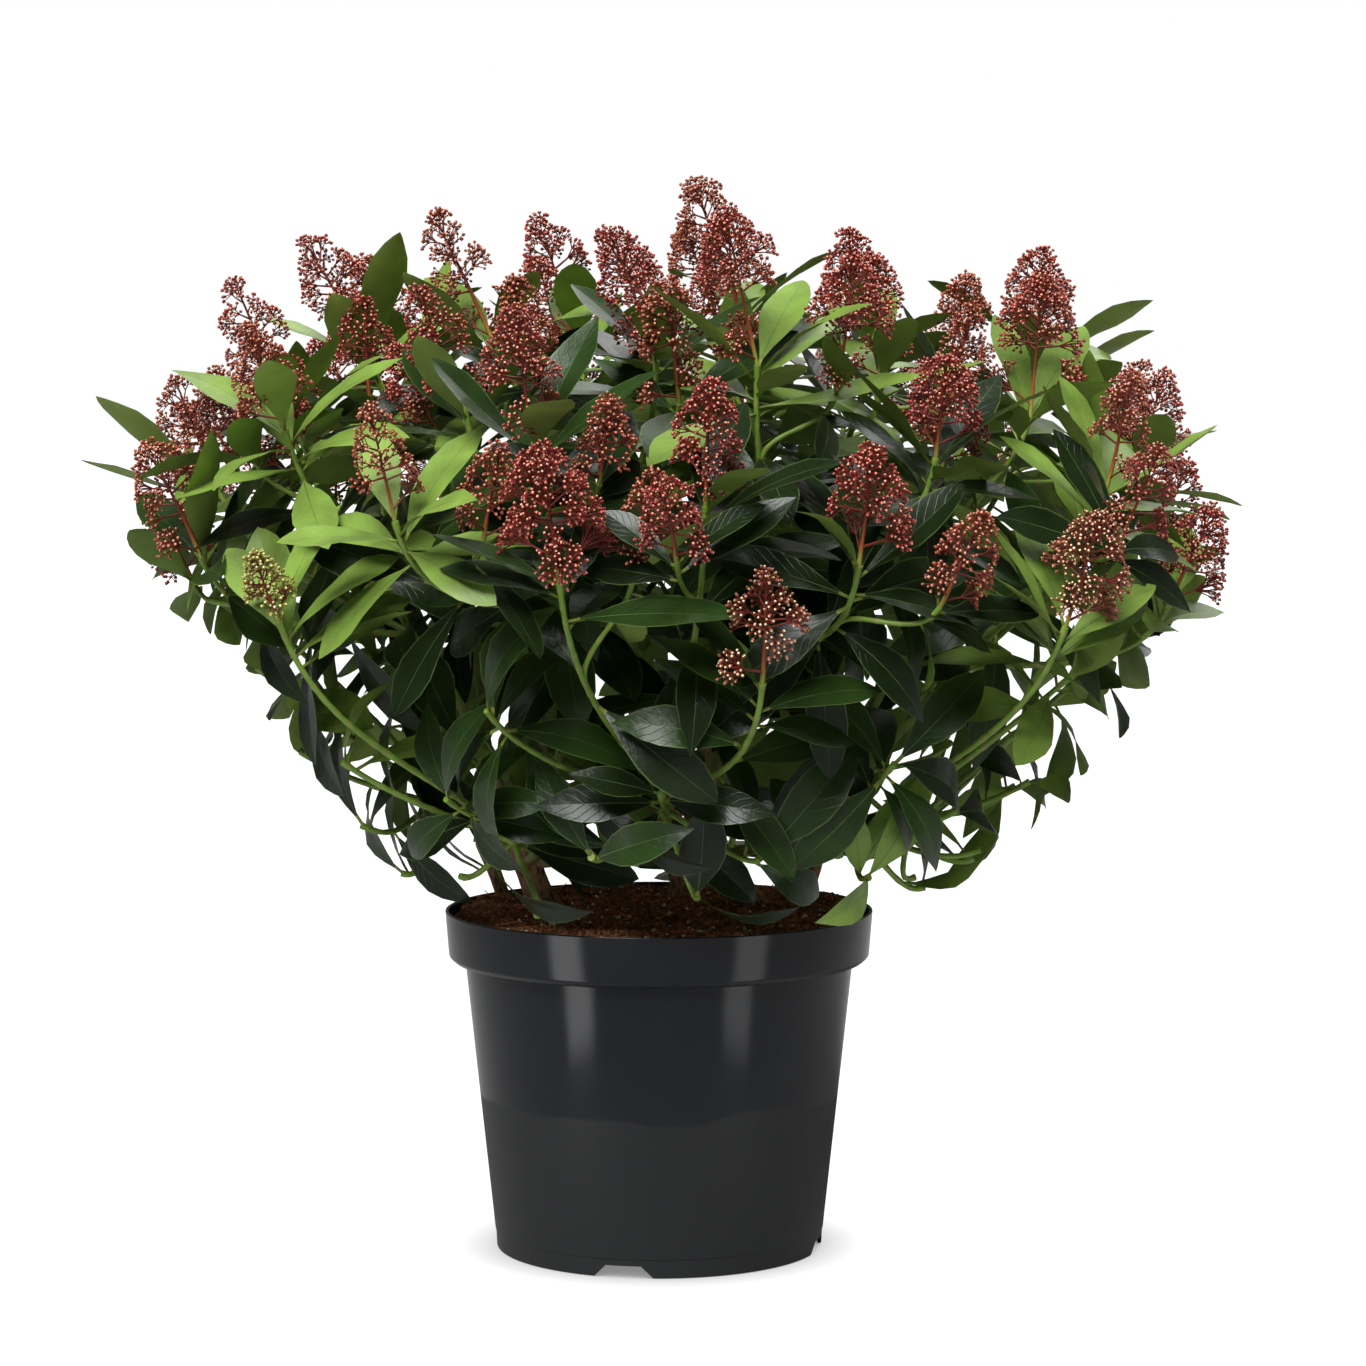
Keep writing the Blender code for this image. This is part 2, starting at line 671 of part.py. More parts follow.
def make_mass(name, spaces, mass, node_path, shoots, low, chance, material):
    """One mass of foliage: its stem, the shoots that fork from it, their flower heads and leaves."""
    stem = tube_shape(node_path, [BOUGH_RADII[1] * 0.96, SHOOT_RADII[0] * 1.15], 5)
    node, arrive = node_path[-1]
    wood, grown, whorls = [], [], []
    for shoot in shoots:
        path = shoot_path(node, arrive, shoot)
        radii = tapered(SHOOT_RADII, len(path))
        if shoot["flowering"]:
            end, heading = path[-1]
            path.append((end + heading * HEAD_STALK, heading))
            radii.append(SHOOT_RADII[1] * 0.8)
        twig = tube_shape(path, radii, 3, shoot["rank"] * 0.7)
        if not twig_fits(spaces, mass, twig, 3):
            print("shoot left out of", name, round(math.degrees(shoot["polar"])))
            continue
        wood.append(twig)
        whorls.append((path[: SHOOT_STEPS + 1], shoot))
        if not shoot["flowering"]:
            continue
        for size in (1.0, 0.88, 0.76):
            head = head_shape(shoot["whorl"], shoot["heading"], shoot["size"] * size)
            tree = BVHTree.FromPolygons(*head)
            if spaces.holds(mass, head[0]) and spaces.clear(tree):
                wood.append(head)
                grown.append(tree)
                break
        else:
            print("flower head left out of", name)
    leaves = []
    for path, shoot in whorls:
        tilts = (52, 88) if shoot["flowering"] else (35, 95)
        droop = 0.10 if shoot["flowering"] else 0.30
        count = LOW_LEAVES if low else LEAVES_PER_SHOOT
        leaves += leaf_spiral(spaces, mass, path, count, tilts, chance, shoot["size"], droop, grown)
    if not low:
        leaves += leaf_spiral(spaces, mass, node_path, LEAVES_PER_NODE, (72, 96), chance, 1.0, 0.25, grown)
    made = fuse(name, "UNION", stem, wood + leaves)
    shade(made, material, False)
    print(name, len(made.data.polygons), "faces,", len(leaves), "leaves")


def make_foliage(boughs, leaf_green, obstacles):
    """The masses at the ends of the boughs, then the low ones at the tops of the woody stems."""
    spaces = Spaces(obstacles)
    chance = random.Random(SKELETON_SEED + 1)
    masses = []
    for bough in boughs:
        end, arrive = bough_path(bough)[-1]
        start = end + arrive * GAP
        path = [(start, arrive), (start + arrive * NODE_STEM_LENGTH, arrive)]
        masses.append((bough["name"].replace("bough", "foliage"), path, bough["shoots"], "low" in bough))
    for mass, (name, path, shoots, low) in enumerate(masses):
        node, arrive = path[-1]
        spaces.add(mass, node)
        for shoot in shoots:
            along = shoot_path(node, arrive, shoot)
            for step in (1, 2, 3):
                spaces.add(mass, along[step - 1][0].lerp(along[step][0], 0.5))
                spaces.add(mass, along[step][0])
            spaces.add(mass, shoot["whorl"] + shoot["heading"] * 0.02)
    spaces.settle()
    for mass, (name, path, shoots, low) in enumerate(masses):
        make_mass(name, spaces, mass, path, shoots, low, chance, leaf_green)


def main():
    for thing in list(bpy.data.objects):
        bpy.data.objects.remove(thing)
    plastic = plain_material("pot_plastic", (0.020, 0.022, 0.026), 0.35)
    compost = plain_material("compost", (0.045, 0.024, 0.013), 0.95)
    bark = plain_material("bark", (0.20, 0.13, 0.075), 0.85)
    green = plain_material("green_bark", (0.16, 0.27, 0.05), 0.55)
    leaf_green = plain_material("leaf", (0.035, 0.085, 0.022), 0.40)
    boughs = grow_skeleton()
    pot = make_pot(plastic)
    soil = make_soil(compost)
    make_limbs(boughs, bark, green)
    limbs = [stem_shape(name, GAP * 2) for name in STEMS]
    limbs += [bough_shape(bough, GAP * 2) for bough in boughs]
    solids = [([v.co for v in o.data.vertices], [tuple(p.vertices) for p in o.data.polygons]) for o in (pot, soil)]
    make_foliage(boughs, leaf_green, tree_of(limbs + solids))


main()
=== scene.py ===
"""A skimmia in flower bud in its nursery pot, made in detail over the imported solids.

Run it with blender --background --python scene.py. It is laid out as an add-on: each operator makes one piece
or one group of like pieces, and the panel in the 3D view's sidebar lists them. Units are metres, Z is up, and
the origin is the middle of the pot's foot, on the ground. The plant grows on from its limbs by the same rule
as the solids, with more leaves, buds and finer twigs within the same reach.
"""

import itertools
import json
import math
import random

import bmesh
import bpy
from bpy.props import FloatProperty, FloatVectorProperty, IntProperty, PointerProperty
from mathutils import Matrix, Vector, noise
from mathutils.bvhtree import BVHTree

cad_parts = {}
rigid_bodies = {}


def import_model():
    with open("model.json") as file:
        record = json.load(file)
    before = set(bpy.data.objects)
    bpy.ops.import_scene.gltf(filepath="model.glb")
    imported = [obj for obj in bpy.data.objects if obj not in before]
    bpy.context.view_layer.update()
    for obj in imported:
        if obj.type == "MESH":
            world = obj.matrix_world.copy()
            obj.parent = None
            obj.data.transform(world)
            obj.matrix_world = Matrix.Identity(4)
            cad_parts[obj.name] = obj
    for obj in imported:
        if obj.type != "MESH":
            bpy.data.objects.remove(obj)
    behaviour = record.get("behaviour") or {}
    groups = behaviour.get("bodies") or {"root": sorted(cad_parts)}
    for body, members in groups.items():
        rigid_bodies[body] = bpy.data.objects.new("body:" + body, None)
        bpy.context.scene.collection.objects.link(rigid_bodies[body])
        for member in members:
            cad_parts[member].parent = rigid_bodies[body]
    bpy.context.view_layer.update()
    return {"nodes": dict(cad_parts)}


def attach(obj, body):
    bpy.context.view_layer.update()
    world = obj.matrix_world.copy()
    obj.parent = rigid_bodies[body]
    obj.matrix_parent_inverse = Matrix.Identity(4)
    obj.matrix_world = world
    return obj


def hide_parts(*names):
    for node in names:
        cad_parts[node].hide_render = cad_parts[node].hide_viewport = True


bl_info = {
    "name": "Potted skimmia",
    "version": (1, 0, 0),
    "blender": (4, 5, 0),
    "location": "3D View > Sidebar > Skimmia",
    "description": "Makes a skimmia in flower bud in its nursery pot",
    "category": "Object",
}

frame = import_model()
NODES = sorted(frame["nodes"])

UP = Vector((0.0, 0.0, 1.0))
GOLDEN_ANGLE = math.pi * (3.0 - math.sqrt(5.0))

# The pot and its compost, as in the solids.
POT_SIDES = 144
RIM_RADIUS = 0.140
POT_HEIGHT = 0.222
LEDGE = POT_HEIGHT - 0.033
BODY_TOP_RADIUS = 0.1270
FOOT_RADIUS = 0.1068
WALL = 0.0022
FLOOR_HEIGHT = 0.008
BOSS_RADIUS = 0.030
NOTCH_COUNT = 4
NOTCH_TURN = math.radians(-102.0)
NOTCH_FOOT_WIDTH = 0.036
NOTCH_TOP_WIDTH = 0.023
NOTCH_HEIGHT = 0.0078
DRAIN_RADIUS = 0.006
DRAIN_RING_RADIUS = 0.086
SOIL_SIDES = 216
SOIL_RINGS = 74
SOIL_EDGE_HEIGHT = 0.2125
SOIL_TOP_HEIGHT = 0.2165
SOIL_PLATEAU_RADIUS = 0.118
GAP = 0.0003
LITTER_KINDS = 6
# Where compost is heaped up by the stems, as (place, size, rise).
HEAPS = (
    ((-0.088, 0.006), 0.030, 0.006), ((-0.118, 0.020), 0.022, 0.005),
    ((0.085, 0.045), 0.030, 0.005), ((0.118, 0.030), 0.016, 0.006),
)

# The woody stems, each with its foot on the compost and its fork relative to the foot.
STEMS = {
    "stem_left": {"foot": (-0.074, 0.004), "fork": (-0.020, -0.008, 0.060), "radii": (0.0105, 0.0078)},
    "stem_left_side": {"foot": (-0.102, 0.048), "fork": (-0.020, 0.012, 0.048), "radii": (0.0048, 0.0040)},
    "stem_back": {"foot": (0.014, 0.078), "fork": (-0.010, 0.018, 0.078), "radii": (0.0072, 0.0058)},
    "stem_middle": {"foot": (0.066, 0.030), "fork": (-0.050, -0.030, 0.080), "radii": (0.0082, 0.0062)},
    "stem_right": {"foot": (0.092, 0.052), "fork": (0.022, 0.000, 0.072), "radii": (0.0088, 0.0066)},
}
STEM_STEP = 0.0012
STEM_SINK = 0.009
FLARE = 1.35
FLARE_HEIGHT = 0.012

# The crown, a dome that is widest at its shoulders. Reach and outline go by the angle from straight up.
CROWN_CENTRE = Vector((0.014, 0.008, SOIL_TOP_HEIGHT))
CROWN_DEPTH = 0.90
REACH_BY_POLAR = (
    (0, 0.470), (20, 0.480), (38, 0.508), (47, 0.502), (52, 0.470), (60, 0.385), (70, 0.300), (80, 0.245)
)
OUTLINE_BY_POLAR = (
    (0, 0.474), (20, 0.490), (40, 0.522), (48, 0.517), (52, 0.502), (58, 0.430), (66, 0.340), (76, 0.262),
    (93, 0.212), (94, 0.0),
)
# The outline is narrower at its left, by a share that fades out with height.
LEFT_NARROWING = 0.26
LEFT_NARROW_HEIGHT = 0.26
SHOOT_COUNT = 90
CROWN_POLAR = math.radians(80.0)
FLOWERING_POLAR = math.radians(51.5)
# The shoots that flower late, low on the crown. The middle one is green and small, and the others are pale.
LATE_SHOOTS = (44, 46, 49)
LATE_GREEN_SIZE = 0.58
BOUGH_COUNT = 20
BOUGH_POLAR = math.radians(70.0)
NODE_SHARE = 0.60
SKELETON_SEED = 11
LOW_AZIMUTHS = (-124, -68, -18, 84, 208)
LOW_NODE = (0.068, 0.050)
LOW_WHORL = (0.104, 0.080)
BOUGH_RADII = (0.0040, 0.0029)
BOUGH_SIDES = 12
BOUGH_STEP = 0.0022
NODE_STEM_LENGTH = 0.020
SHOOT_RADII = (0.0024, 0.0019)
FORK_RADII = (0.0018, 0.0016)
FORK_CHANCE = 0.78
# Shoots are drawn thinner than the solids' shoots, which are thick enough to be solids.
SHOOT_SLIMMING = 0.90
UPRIGHT_FLOWERING = 0.55
UPRIGHT_LEAFY = 0.15

# The kinds of leaf, as (arch in degrees, fold, sweep, twist in degrees, bluntness of the tip).
LEAF_KINDS = (
    (-12, 0.16, 0.00, 0, 0.9), (6, 0.20, 0.03, -8, 0.3), (20, 0.14, -0.03, 6, 0.7),
    (34, 0.12, 0.02, -10, 0.1), (48, 0.10, -0.02, 8, 0.5), (66, 0.12, 0.03, 14, 0.0),
    (26, 0.22, 0.05, 22, 0.2), (40, 0.08, -0.05, -20, 0.8),
)
# Half the width of a leaf at shares of its length, with a pointed and with a blunt tip.
LEAF_OUTLINE = (
    (0.0, 0.012, 0.012), (0.09, 0.015, 0.014), (0.20, 0.060, 0.046),
    (0.34, 0.118, 0.098), (0.48, 0.150, 0.143), (0.62, 0.150, 0.166),
    (0.76, 0.112, 0.154), (0.88, 0.056, 0.108), (0.955, 0.022, 0.054),
)
LEAF_RIB = 0.0034
LEAF_THICK = 0.0052
LEAF_CELL = 0.10
LEAF_TRIES = 16

# Where the leaves differ by place, as in the photograph. Heights are over the ground, and reaches are
# from the middle.
HANGING_HEIGHT = 0.38
SPARSE_HEIGHT = 0.45
TOP_HEIGHT = 0.54
OUTER_REACH = 0.15
OUTER_NODE_REACH = 0.10
# Beyond these reaches, and over TOP_HEIGHT, more leaves are of the fresh group: partly painted light where
# light falls on them.
BRIGHT_LEFT = -0.08
BRIGHT_RIGHT = 0.20
LOWEST_LEAF = 0.264
LOW_LEAF_CHANCE = 0.14

# The flower heads. The ones near the top are longer, and lean to the left.
HEAD_LENGTH = 0.082
HEAD_STALK = 0.014
HEAD_RADIUS = 0.0265
HEAD_BRANCHES = 20
TOP_HEAD_STRETCH = 1.32
LEAN = 0.34
LEAN_START = 0.50
LEAN_RUN = 0.10

# The camera, as it was for the photograph.
CAMERA_PLACE = (0.0157, -2.511, 0.557)
CAMERA_DIP = 0.0743
CAMERA_LENS = 101.6
FLOOR_RADIUS = 40.0


def linear(hex_colour):
    """An sRGB hex colour as linear red, green, blue and alpha."""
    found = []
    for start in (1, 3, 5):
        value = int(hex_colour[start : start + 2], 16) / 255
        found.append(value / 12.92 if value <= 0.04045 else ((value + 0.055) / 1.055) ** 2.4)
    return (*found, 1.0)


def colour(name, description, hex_colour):
    """A colour that a user may change, with its default given in sRGB."""
    return FloatVectorProperty(
        name=name, description=description, subtype="COLOR", size=4, min=0.0, max=1.0,
        default=linear(hex_colour),
    )


def number(name, description, default, unit="NONE"):
    return FloatProperty(name=name, description=description, default=default, unit=unit)


def count_of(name, description, default):
    return IntProperty(name=name, description=description, default=default, min=1)


class PotSettings(bpy.types.PropertyGroup):
    """Sizes and colours of the pot."""

    plastic: colour("Plastic", "Anthracite of the moulded plastic", "#101217")
    # This colour, a little lighter than the plastic, is a painted reflection of the pale floor on the lower
    # wall.
    floor_reflection: colour("Dust", "Fine dust low on the wall", "#1b1c1d")
    edge_round: number("Edge rounding", "Radius of the moulded edges", 0.0011, "LENGTH")


class CompostSettings(bpy.types.PropertyGroup):
    """Colours of the compost and of what lies on it, and how many pieces lie on a square metre."""

    peat: colour("Peat", "Damp peat", "#5c3724")
    peat_dry: colour("Dry peat", "Drier crumbs of peat", "#b87a56")
    perlite: colour("Perlite", "Pale mineral grains", "#efe8d8")
    fibre: colour("Fibre", "Thin roots and coir", "#c8814f")
    chip: colour("Bark chips", "Broken bark", "#8d5c3a")
    lumps: number("Lumps", "Height of the clods", 0.0032, "LENGTH")
    crumb_density: number("Crumbs", "Crumbs per square metre", 34000.0)
    perlite_density: number("Perlite grains", "Grains per square metre", 4200.0)
    fibre_density: number("Fibres", "Fibres per square metre", 9500.0)
    chip_density: number("Chips", "Chips per square metre", 1500.0)


class WoodSettings(bpy.types.PropertyGroup):
    """Colours and relief of the stems, boughs and shoots."""

    bark: colour("Bark", "Outer face of the flaking bark", "#aa8564")
    crevice: colour("Crevice", "Bottom of the cracks", "#3a281c")
    green: colour("Green bark", "Bark of the boughs", "#6f8a3c")
    shoot: colour("Shoot", "Skin of the young shoots", "#789f38")
    scar: colour("Leaf scar", "Corky scars of fallen leaves", "#a08a5c")
    relief: number("Bark relief", "Depth of the cracks", 0.0009, "LENGTH")


class LeafSettings(bpy.types.PropertyGroup):
    """Sizes, numbers and colours of the leaves."""

    length: number("Length", "Usual length of a leaf", 0.097, "LENGTH")
    whorl: count_of("Whorl", "Leaves under each tip", 9)
    tier: count_of("Lower tier", "Older leaves down each shoot", 7)
    node: count_of("Node", "Leaves where the shoots divide", 8)
    low: count_of("Low whorl", "Leaves on each low bough", 2)
    # The three leaf colours are real, but fresh leaves are set more often on the outer sides and top, where
    # light falls, and dark ones low down in shade: partly painted light and shade.
    dark: colour("Dark leaf", "Upper side of the older leaves", "#15220c")
    middle: colour("Middle leaf", "Upper side of this year's leaves", "#223613")
    fresh: colour("Fresh leaf", "Upper side of the youngest leaves", "#6f8a3a")
    # The margin colour is a painted highlight: light catching the thickened edge of the leaf.
    margin: colour("Margin", "Thin pale margin of a leaf", "#6d8a4a")
    # Both underside colours are made much lighter: painted light, as if light came through the leaf.
    under_dull: colour("Underside", "Underside of the older leaves", "#6f8a38")
    under_fresh: colour("Fresh underside", "Underside of the younger leaves", "#8ea650")
    rib: colour("Midrib", "Midrib seen from above", "#46602f")
    petiole: colour("Petiole", "Short stalk of a leaf, brownish green", "#7f8a3c")


class FlowerSettings(bpy.types.PropertyGroup):
    """Sizes and colours of the flower heads."""

    length: number("Length", "Length of a usual head", 0.070, "LENGTH")
    radius: number("Radius", "Widest radius of a head", 0.0260, "LENGTH")
    bud: number("Bud", "Diameter of a bud", 0.0026, "LENGTH")
    room: number("Room", "Distance from bud to bud", 0.0035, "LENGTH")
    crimson: colour("Crimson bud", "Buds of the reddest heads", "#8c2c26")
    rose: colour("Rose bud", "Buds between the two", "#91372d")
    russet: colour("Russet bud", "Buds of the browner heads", "#91462f")
    # The pale tip colours are partly the buds' own paler tips and partly a painted highlight on each bud.
    tip: colour("Bud tip", "Pale tip of a red bud", "#d89a80")
    pale: colour("Pale bud", "Buds of the late heads on the right", "#8e4a38")
    pale_tip_and_highlight: colour("Pale bud tip", "Tip of a pale bud", "#e8cfa6")
    green: colour("Green bud", "Buds of the late head on the left", "#93903f")
    green_tip_and_highlight: colour("Green bud tip", "Tip of a green bud", "#dfd897")
    stalk: colour("Flower stalk", "Dark red stalks among the buds", "#70291c")
    peduncle: colour("Peduncle", "Orange-brown stem of a head", "#a8622c")
    foot: colour("Foot", "Olive foot of that stem, by the shoot", "#86983c")


class StageSettings(bpy.types.PropertyGroup):
    """The plain floor and the soft light."""

    floor: colour("Floor", "Plain pale floor", "#90908f")
    glow: number("Floor glow", "How far shadows on the floor are lightened", 0.88)
    even_light: number("Even light", "Strength of the light from all sides", 0.10)
    key_power: number("Top light", "Strength of the soft top light", 5.4)
    strip_power: number("Side lights", "Power of each low side strip", 0.16)


SETTINGS = {
    "skimmia_pot": PotSettings,
    "skimmia_compost": CompostSettings,
    "skimmia_wood": WoodSettings,
    "skimmia_leaf": LeafSettings,
    "skimmia_flower": FlowerSettings,
    "skimmia_stage": StageSettings,
}


# Small tools for numbers and directions.


def clamp(value):
    return max(0.0, min(1.0, value))


def between(low, high, share):
    return low + (high - low) * share


def hump(value, middle, width):
    """A smooth hump, one high, round a middle."""
    return math.exp(-(((value - middle) / width) ** 2))


def circle(corners, turn=0.0):
    """The cosine and sine of each corner of a circle."""
    angles = [2 * math.pi * (corner + turn) / corners for corner in range(corners)]
    return [(math.cos(angle), math.sin(angle)) for angle in angles]


def across(direction):
    """Two unit vectors square to a direction."""
    side = direction.cross(UP)
    if side.length < 0.05:
        side = direction.cross(Vector((1.0, 0.0, 0.0)))
    side.normalize()
    return side, side.cross(direction).normalized()


def outwards(side, other, angle):
    """The direction at an angle round an axis, from two unit vectors across it."""
    return side * math.cos(angle) + other * math.sin(angle)


def framed(path):
    """Each point and direction of a path, with two vectors across it that don't twist along it."""
    side = across(path[0][1])[0]
    for point, direction in path:
        side = (side - direction * side.dot(direction)).normalized()
        yield point, direction, side, direction.cross(side)


def tube_faces(rings, sides, first=0):
    """The faces between rings of points that follow each other, from a first point on."""
    faces = []
    for low in range(first, first + (rings - 1) * sides, sides):
        for corner in range(sides):
            after = (corner + 1) % sides
            faces.append((low + corner, low + after, low + sides + after, low + sides + corner))
    return faces


def closed_faces(rings, sides):
    """The faces of a closed shape: one point, rings of points, and one last point."""
    faces = []
    for corner in range(sides):
        after = (corner + 1) % sides
        faces.append((0, 1 + after, 1 + corner))
        for low in range(1, 1 + (rings - 1) * sides, sides):
            faces.append((low + corner, low + after, low + sides + after, low + sides + corner))
        top = 1 + (rings - 1) * sides
        faces.append((top + corner, top + after, top + sides))
    return faces


# Small tools for meshes, pieces and nodes.


def mesh_object(name, points, faces, edges=(), collection=None):
    """A mesh object at the origin. With no collection it goes into the scene."""
    mesh = bpy.data.meshes.new(name)
    mesh.from_pydata([tuple(point) for point in points], list(edges), faces)
    mesh.update()
    made = bpy.data.objects.new(name, mesh)
    (collection or bpy.context.scene.collection).objects.link(made)
    return made


def store(mesh, name, values, kind="FLOAT", domain="POINT"):
    """Writes one value for each point, edge or face of a mesh."""
    attribute = mesh.attributes.new(name, kind, domain)
    if kind == "FLOAT_VECTOR":
        attribute.data.foreach_set("vector", [part for value in values for part in value])
    else:
        attribute.data.foreach_set("value", list(values))


def finish_piece(piece, nodes):
    """Puts a piece on what it rides on, hides the CAD nodes that it stands for, and prints its triangles."""
    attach(piece, "root")
    if nodes:
        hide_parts(*nodes)
    triangles = sum(len(face.vertices) - 2 for face in piece.data.polygons)
    print(piece.name, triangles, "triangles")
    return piece


def smooth_piece(name, points, faces, finish, nodes, attributes=None):
    """A smooth mesh piece with one finish, and with values for its points."""
    piece = mesh_object(name, points, faces)
    for key, values in (attributes or {}).items():
        store(piece.data, key, values)
    piece.data.materials.append(finish)
    piece.data.shade_smooth()
    return finish_piece(piece, nodes)


def make_plain(name, source, nodes):
    """Turns what a source object's modifiers give into a plain mesh piece, which stands for CAD nodes."""
    graph = bpy.context.evaluated_depsgraph_get()
    mesh = bpy.data.meshes.new_from_object(source.evaluated_get(graph))
    bpy.data.objects.remove(source)
    while len(mesh.materials) and mesh.materials[0] is None:
        mesh.materials.pop(index=0)
    mesh.name = name
    piece = bpy.data.objects.new(name, mesh)
    bpy.context.scene.collection.objects.link(piece)
    return finish_piece(piece, nodes)


def drop_collection(collection):
    for thing in list(collection.objects):
        bpy.data.objects.remove(thing)
    bpy.data.collections.remove(collection)


def nodes_named(start):
    return [name for name in NODES if name.startswith(start)]


def add_node(tree, kind, inputs=None, output=0, **settings):
    """Adds a node and gives one output of it. Each input is a plain value, or another node's output."""
    made = tree.nodes.new(kind)
    for name, value in settings.items():
        setattr(made, name, value)
    for key, value in (inputs or {}).items():
        if isinstance(value, bpy.types.NodeSocket):
            tree.links.new(value, made.inputs[key])
        else:
            made.inputs[key].default_value = value
    return made.outputs[output]


def shared_tree(name, inputs, build):
    """The Geometry Nodes tree of a name. At first use build makes it from its named inputs."""
    if name in bpy.data.node_groups:
        return bpy.data.node_groups[name]
    tree = bpy.data.node_groups.new(name, "GeometryNodeTree")
    for label, kind in {"Geometry": "Geometry", **inputs}.items():
        tree.interface.new_socket(label, in_out="INPUT", socket_type="NodeSocket" + kind)
    tree.interface.new_socket("Geometry", in_out="OUTPUT", socket_type="NodeSocketGeometry")
    made = build(tree, tree.nodes.new("NodeGroupInput").outputs)
    tree.links.new(made, tree.nodes.new("NodeGroupOutput").inputs["Geometry"])
    return tree


def grow_with(source, tree, values):
    """Puts a tree on an object, with the value of each named input."""
    modifier = source.modifiers.new("grow", "NODES")
    modifier.node_group = tree
    for item in tree.interface.items_tree:
        if item.in_out == "INPUT" and item.name in values:
            modifier[item.identifier] = values[item.name]


def stored(tree, name, kind):
    return add_node(tree, "GeometryNodeInputNamedAttribute", {"Name": name}, data_type=kind)


def realized(tree, geometry):
    return add_node(tree, "GeometryNodeRealizeInstances", {"Geometry": geometry})


def painted(tree, geometry, finish, chosen=True):
    return add_node(
        tree, "GeometryNodeSetMaterial", {"Geometry": geometry, "Selection": chosen, "Material": finish}
    )


def instances(tree, points, kinds, pick, rotation, scale):
    """One of a collection's shapes on each point."""
    shapes = add_node(
        tree, "GeometryNodeCollectionInfo",
        {"Collection": kinds, "Separate Children": True, "Reset Children": True},
    )
    turned = add_node(tree, "FunctionNodeEulerToRotation", {"Euler": rotation})
    return add_node(
        tree, "GeometryNodeInstanceOnPoints",
        {"Points": points, "Instance": shapes, "Pick Instance": True, "Instance Index": pick,
         "Rotation": turned, "Scale": scale},
    )


def tube_tree():
    """Lines become round limbs, as thick at each point as its attribute says."""

    def build(tree, given):
        curve = add_node(tree, "GeometryNodeMeshToCurve", {"Mesh": given["Geometry"]})
        ring = add_node(
            tree, "GeometryNodeCurvePrimitiveCircle", {"Resolution": given["Sides"], "Radius": 1.0}
        )
        tube = add_node(
            tree, "GeometryNodeCurveToMesh",
            {"Curve": curve, "Profile Curve": ring, "Scale": stored(tree, "thickness", "FLOAT"),
             "Fill Caps": given["Closed"]},
        )
        smooth = add_node(tree, "GeometryNodeSetShadeSmooth", {"Geometry": tube})
        return painted(tree, realized(tree, smooth), given["Finish"])

    return shared_tree("Tubes along lines", {"Sides": "Int", "Closed": "Bool", "Finish": "Material"}, build)


def spread_tree(finishes):
    """Shapes from a collection are set on points by their attributes, and each surface gets its finish."""

    def build(tree, given):
        pick, turn = stored(tree, "kind", "INT"), stored(tree, "turn", "FLOAT_VECTOR")
        placed = instances(tree, given["Geometry"], given["Kinds"], pick, turn, stored(tree, "size", "FLOAT"))
        last = add_node(tree, "GeometryNodeSetShadeSmooth", {"Geometry": realized(tree, placed)})
        surface = stored(tree, "surface", "INT")
        for index in range(finishes):
            chosen = add_node(
                tree, "FunctionNodeCompare", {2: surface, 3: index}, data_type="INT", operation="EQUAL"
            )
            last = painted(tree, last, given[f"Finish {index}"], chosen)
        return last

    inputs = {f"Finish {index}": "Material" for index in range(finishes)}
    return shared_tree(f"Shapes on points {finishes}", {"Kinds": "Collection", **inputs}, build)


def litter_tree():
    """Shapes from a collection are strewn over the top of the compost at random, inside the pot's wall."""

    def random_value(tree, given, kind, low, high, output):
        return add_node(
            tree, "FunctionNodeRandomValue", {**low, **high, "Seed": given["Seed"]}, output, data_type=kind
        )

    def build(tree, given):
        place = add_node(tree, "GeometryNodeInputPosition")
        flat = add_node(
            tree, "ShaderNodeVectorMath", {0: place, 1: (1.0, 1.0, 0.0)}, operation="MULTIPLY"
        )
        far = add_node(tree, "ShaderNodeVectorMath", {0: flat}, "Value", operation="LENGTH")
        inside = add_node(
            tree, "FunctionNodeCompare", {0: far, 1: given["Reach"]}, data_type="FLOAT", operation="LESS_THAN"
        )
        normal = add_node(tree, "GeometryNodeInputNormal")
        steep = add_node(tree, "ShaderNodeSeparateXYZ", {"Vector": normal}, "Z")
        on_top = add_node(
            tree, "FunctionNodeCompare", {0: steep, 1: 0.2}, data_type="FLOAT", operation="GREATER_THAN"
        )
        both = add_node(tree, "FunctionNodeBooleanMath", {0: inside, 1: on_top}, operation="AND")
        points = add_node(
            tree, "GeometryNodeDistributePointsOnFaces",
            {"Mesh": given["Geometry"], "Selection": both, "Density": given["Density"],
             "Seed": given["Seed"]},
        )
        tilt = given["Tilt"]
        back = add_node(tree, "ShaderNodeMath", {0: 0.0, 1: tilt}, operation="SUBTRACT")
        low = add_node(tree, "ShaderNodeCombineXYZ", {0: back, 1: back, 2: -3.14})
        high = add_node(tree, "ShaderNodeCombineXYZ", {0: tilt, 1: tilt, 2: 3.14})
        turn = random_value(tree, given, "FLOAT_VECTOR", {0: low}, {1: high}, 0)
        size = random_value(tree, given, "FLOAT", {2: given["Least"]}, {3: given["Most"]}, 1)
        pick = random_value(tree, given, "INT", {4: 0}, {5: LITTER_KINDS - 1}, 2)
        placed = instances(tree, points, given["Kinds"], pick, turn, size)
        return painted(tree, realized(tree, placed), given["Finish"])

    numbers = {name: "Float" for name in ("Density", "Least", "Most", "Tilt", "Reach")}
    inputs = {"Kinds": "Collection", **numbers, "Seed": "Int", "Finish": "Material"}
    return shared_tree("Litter on the compost", inputs, build)


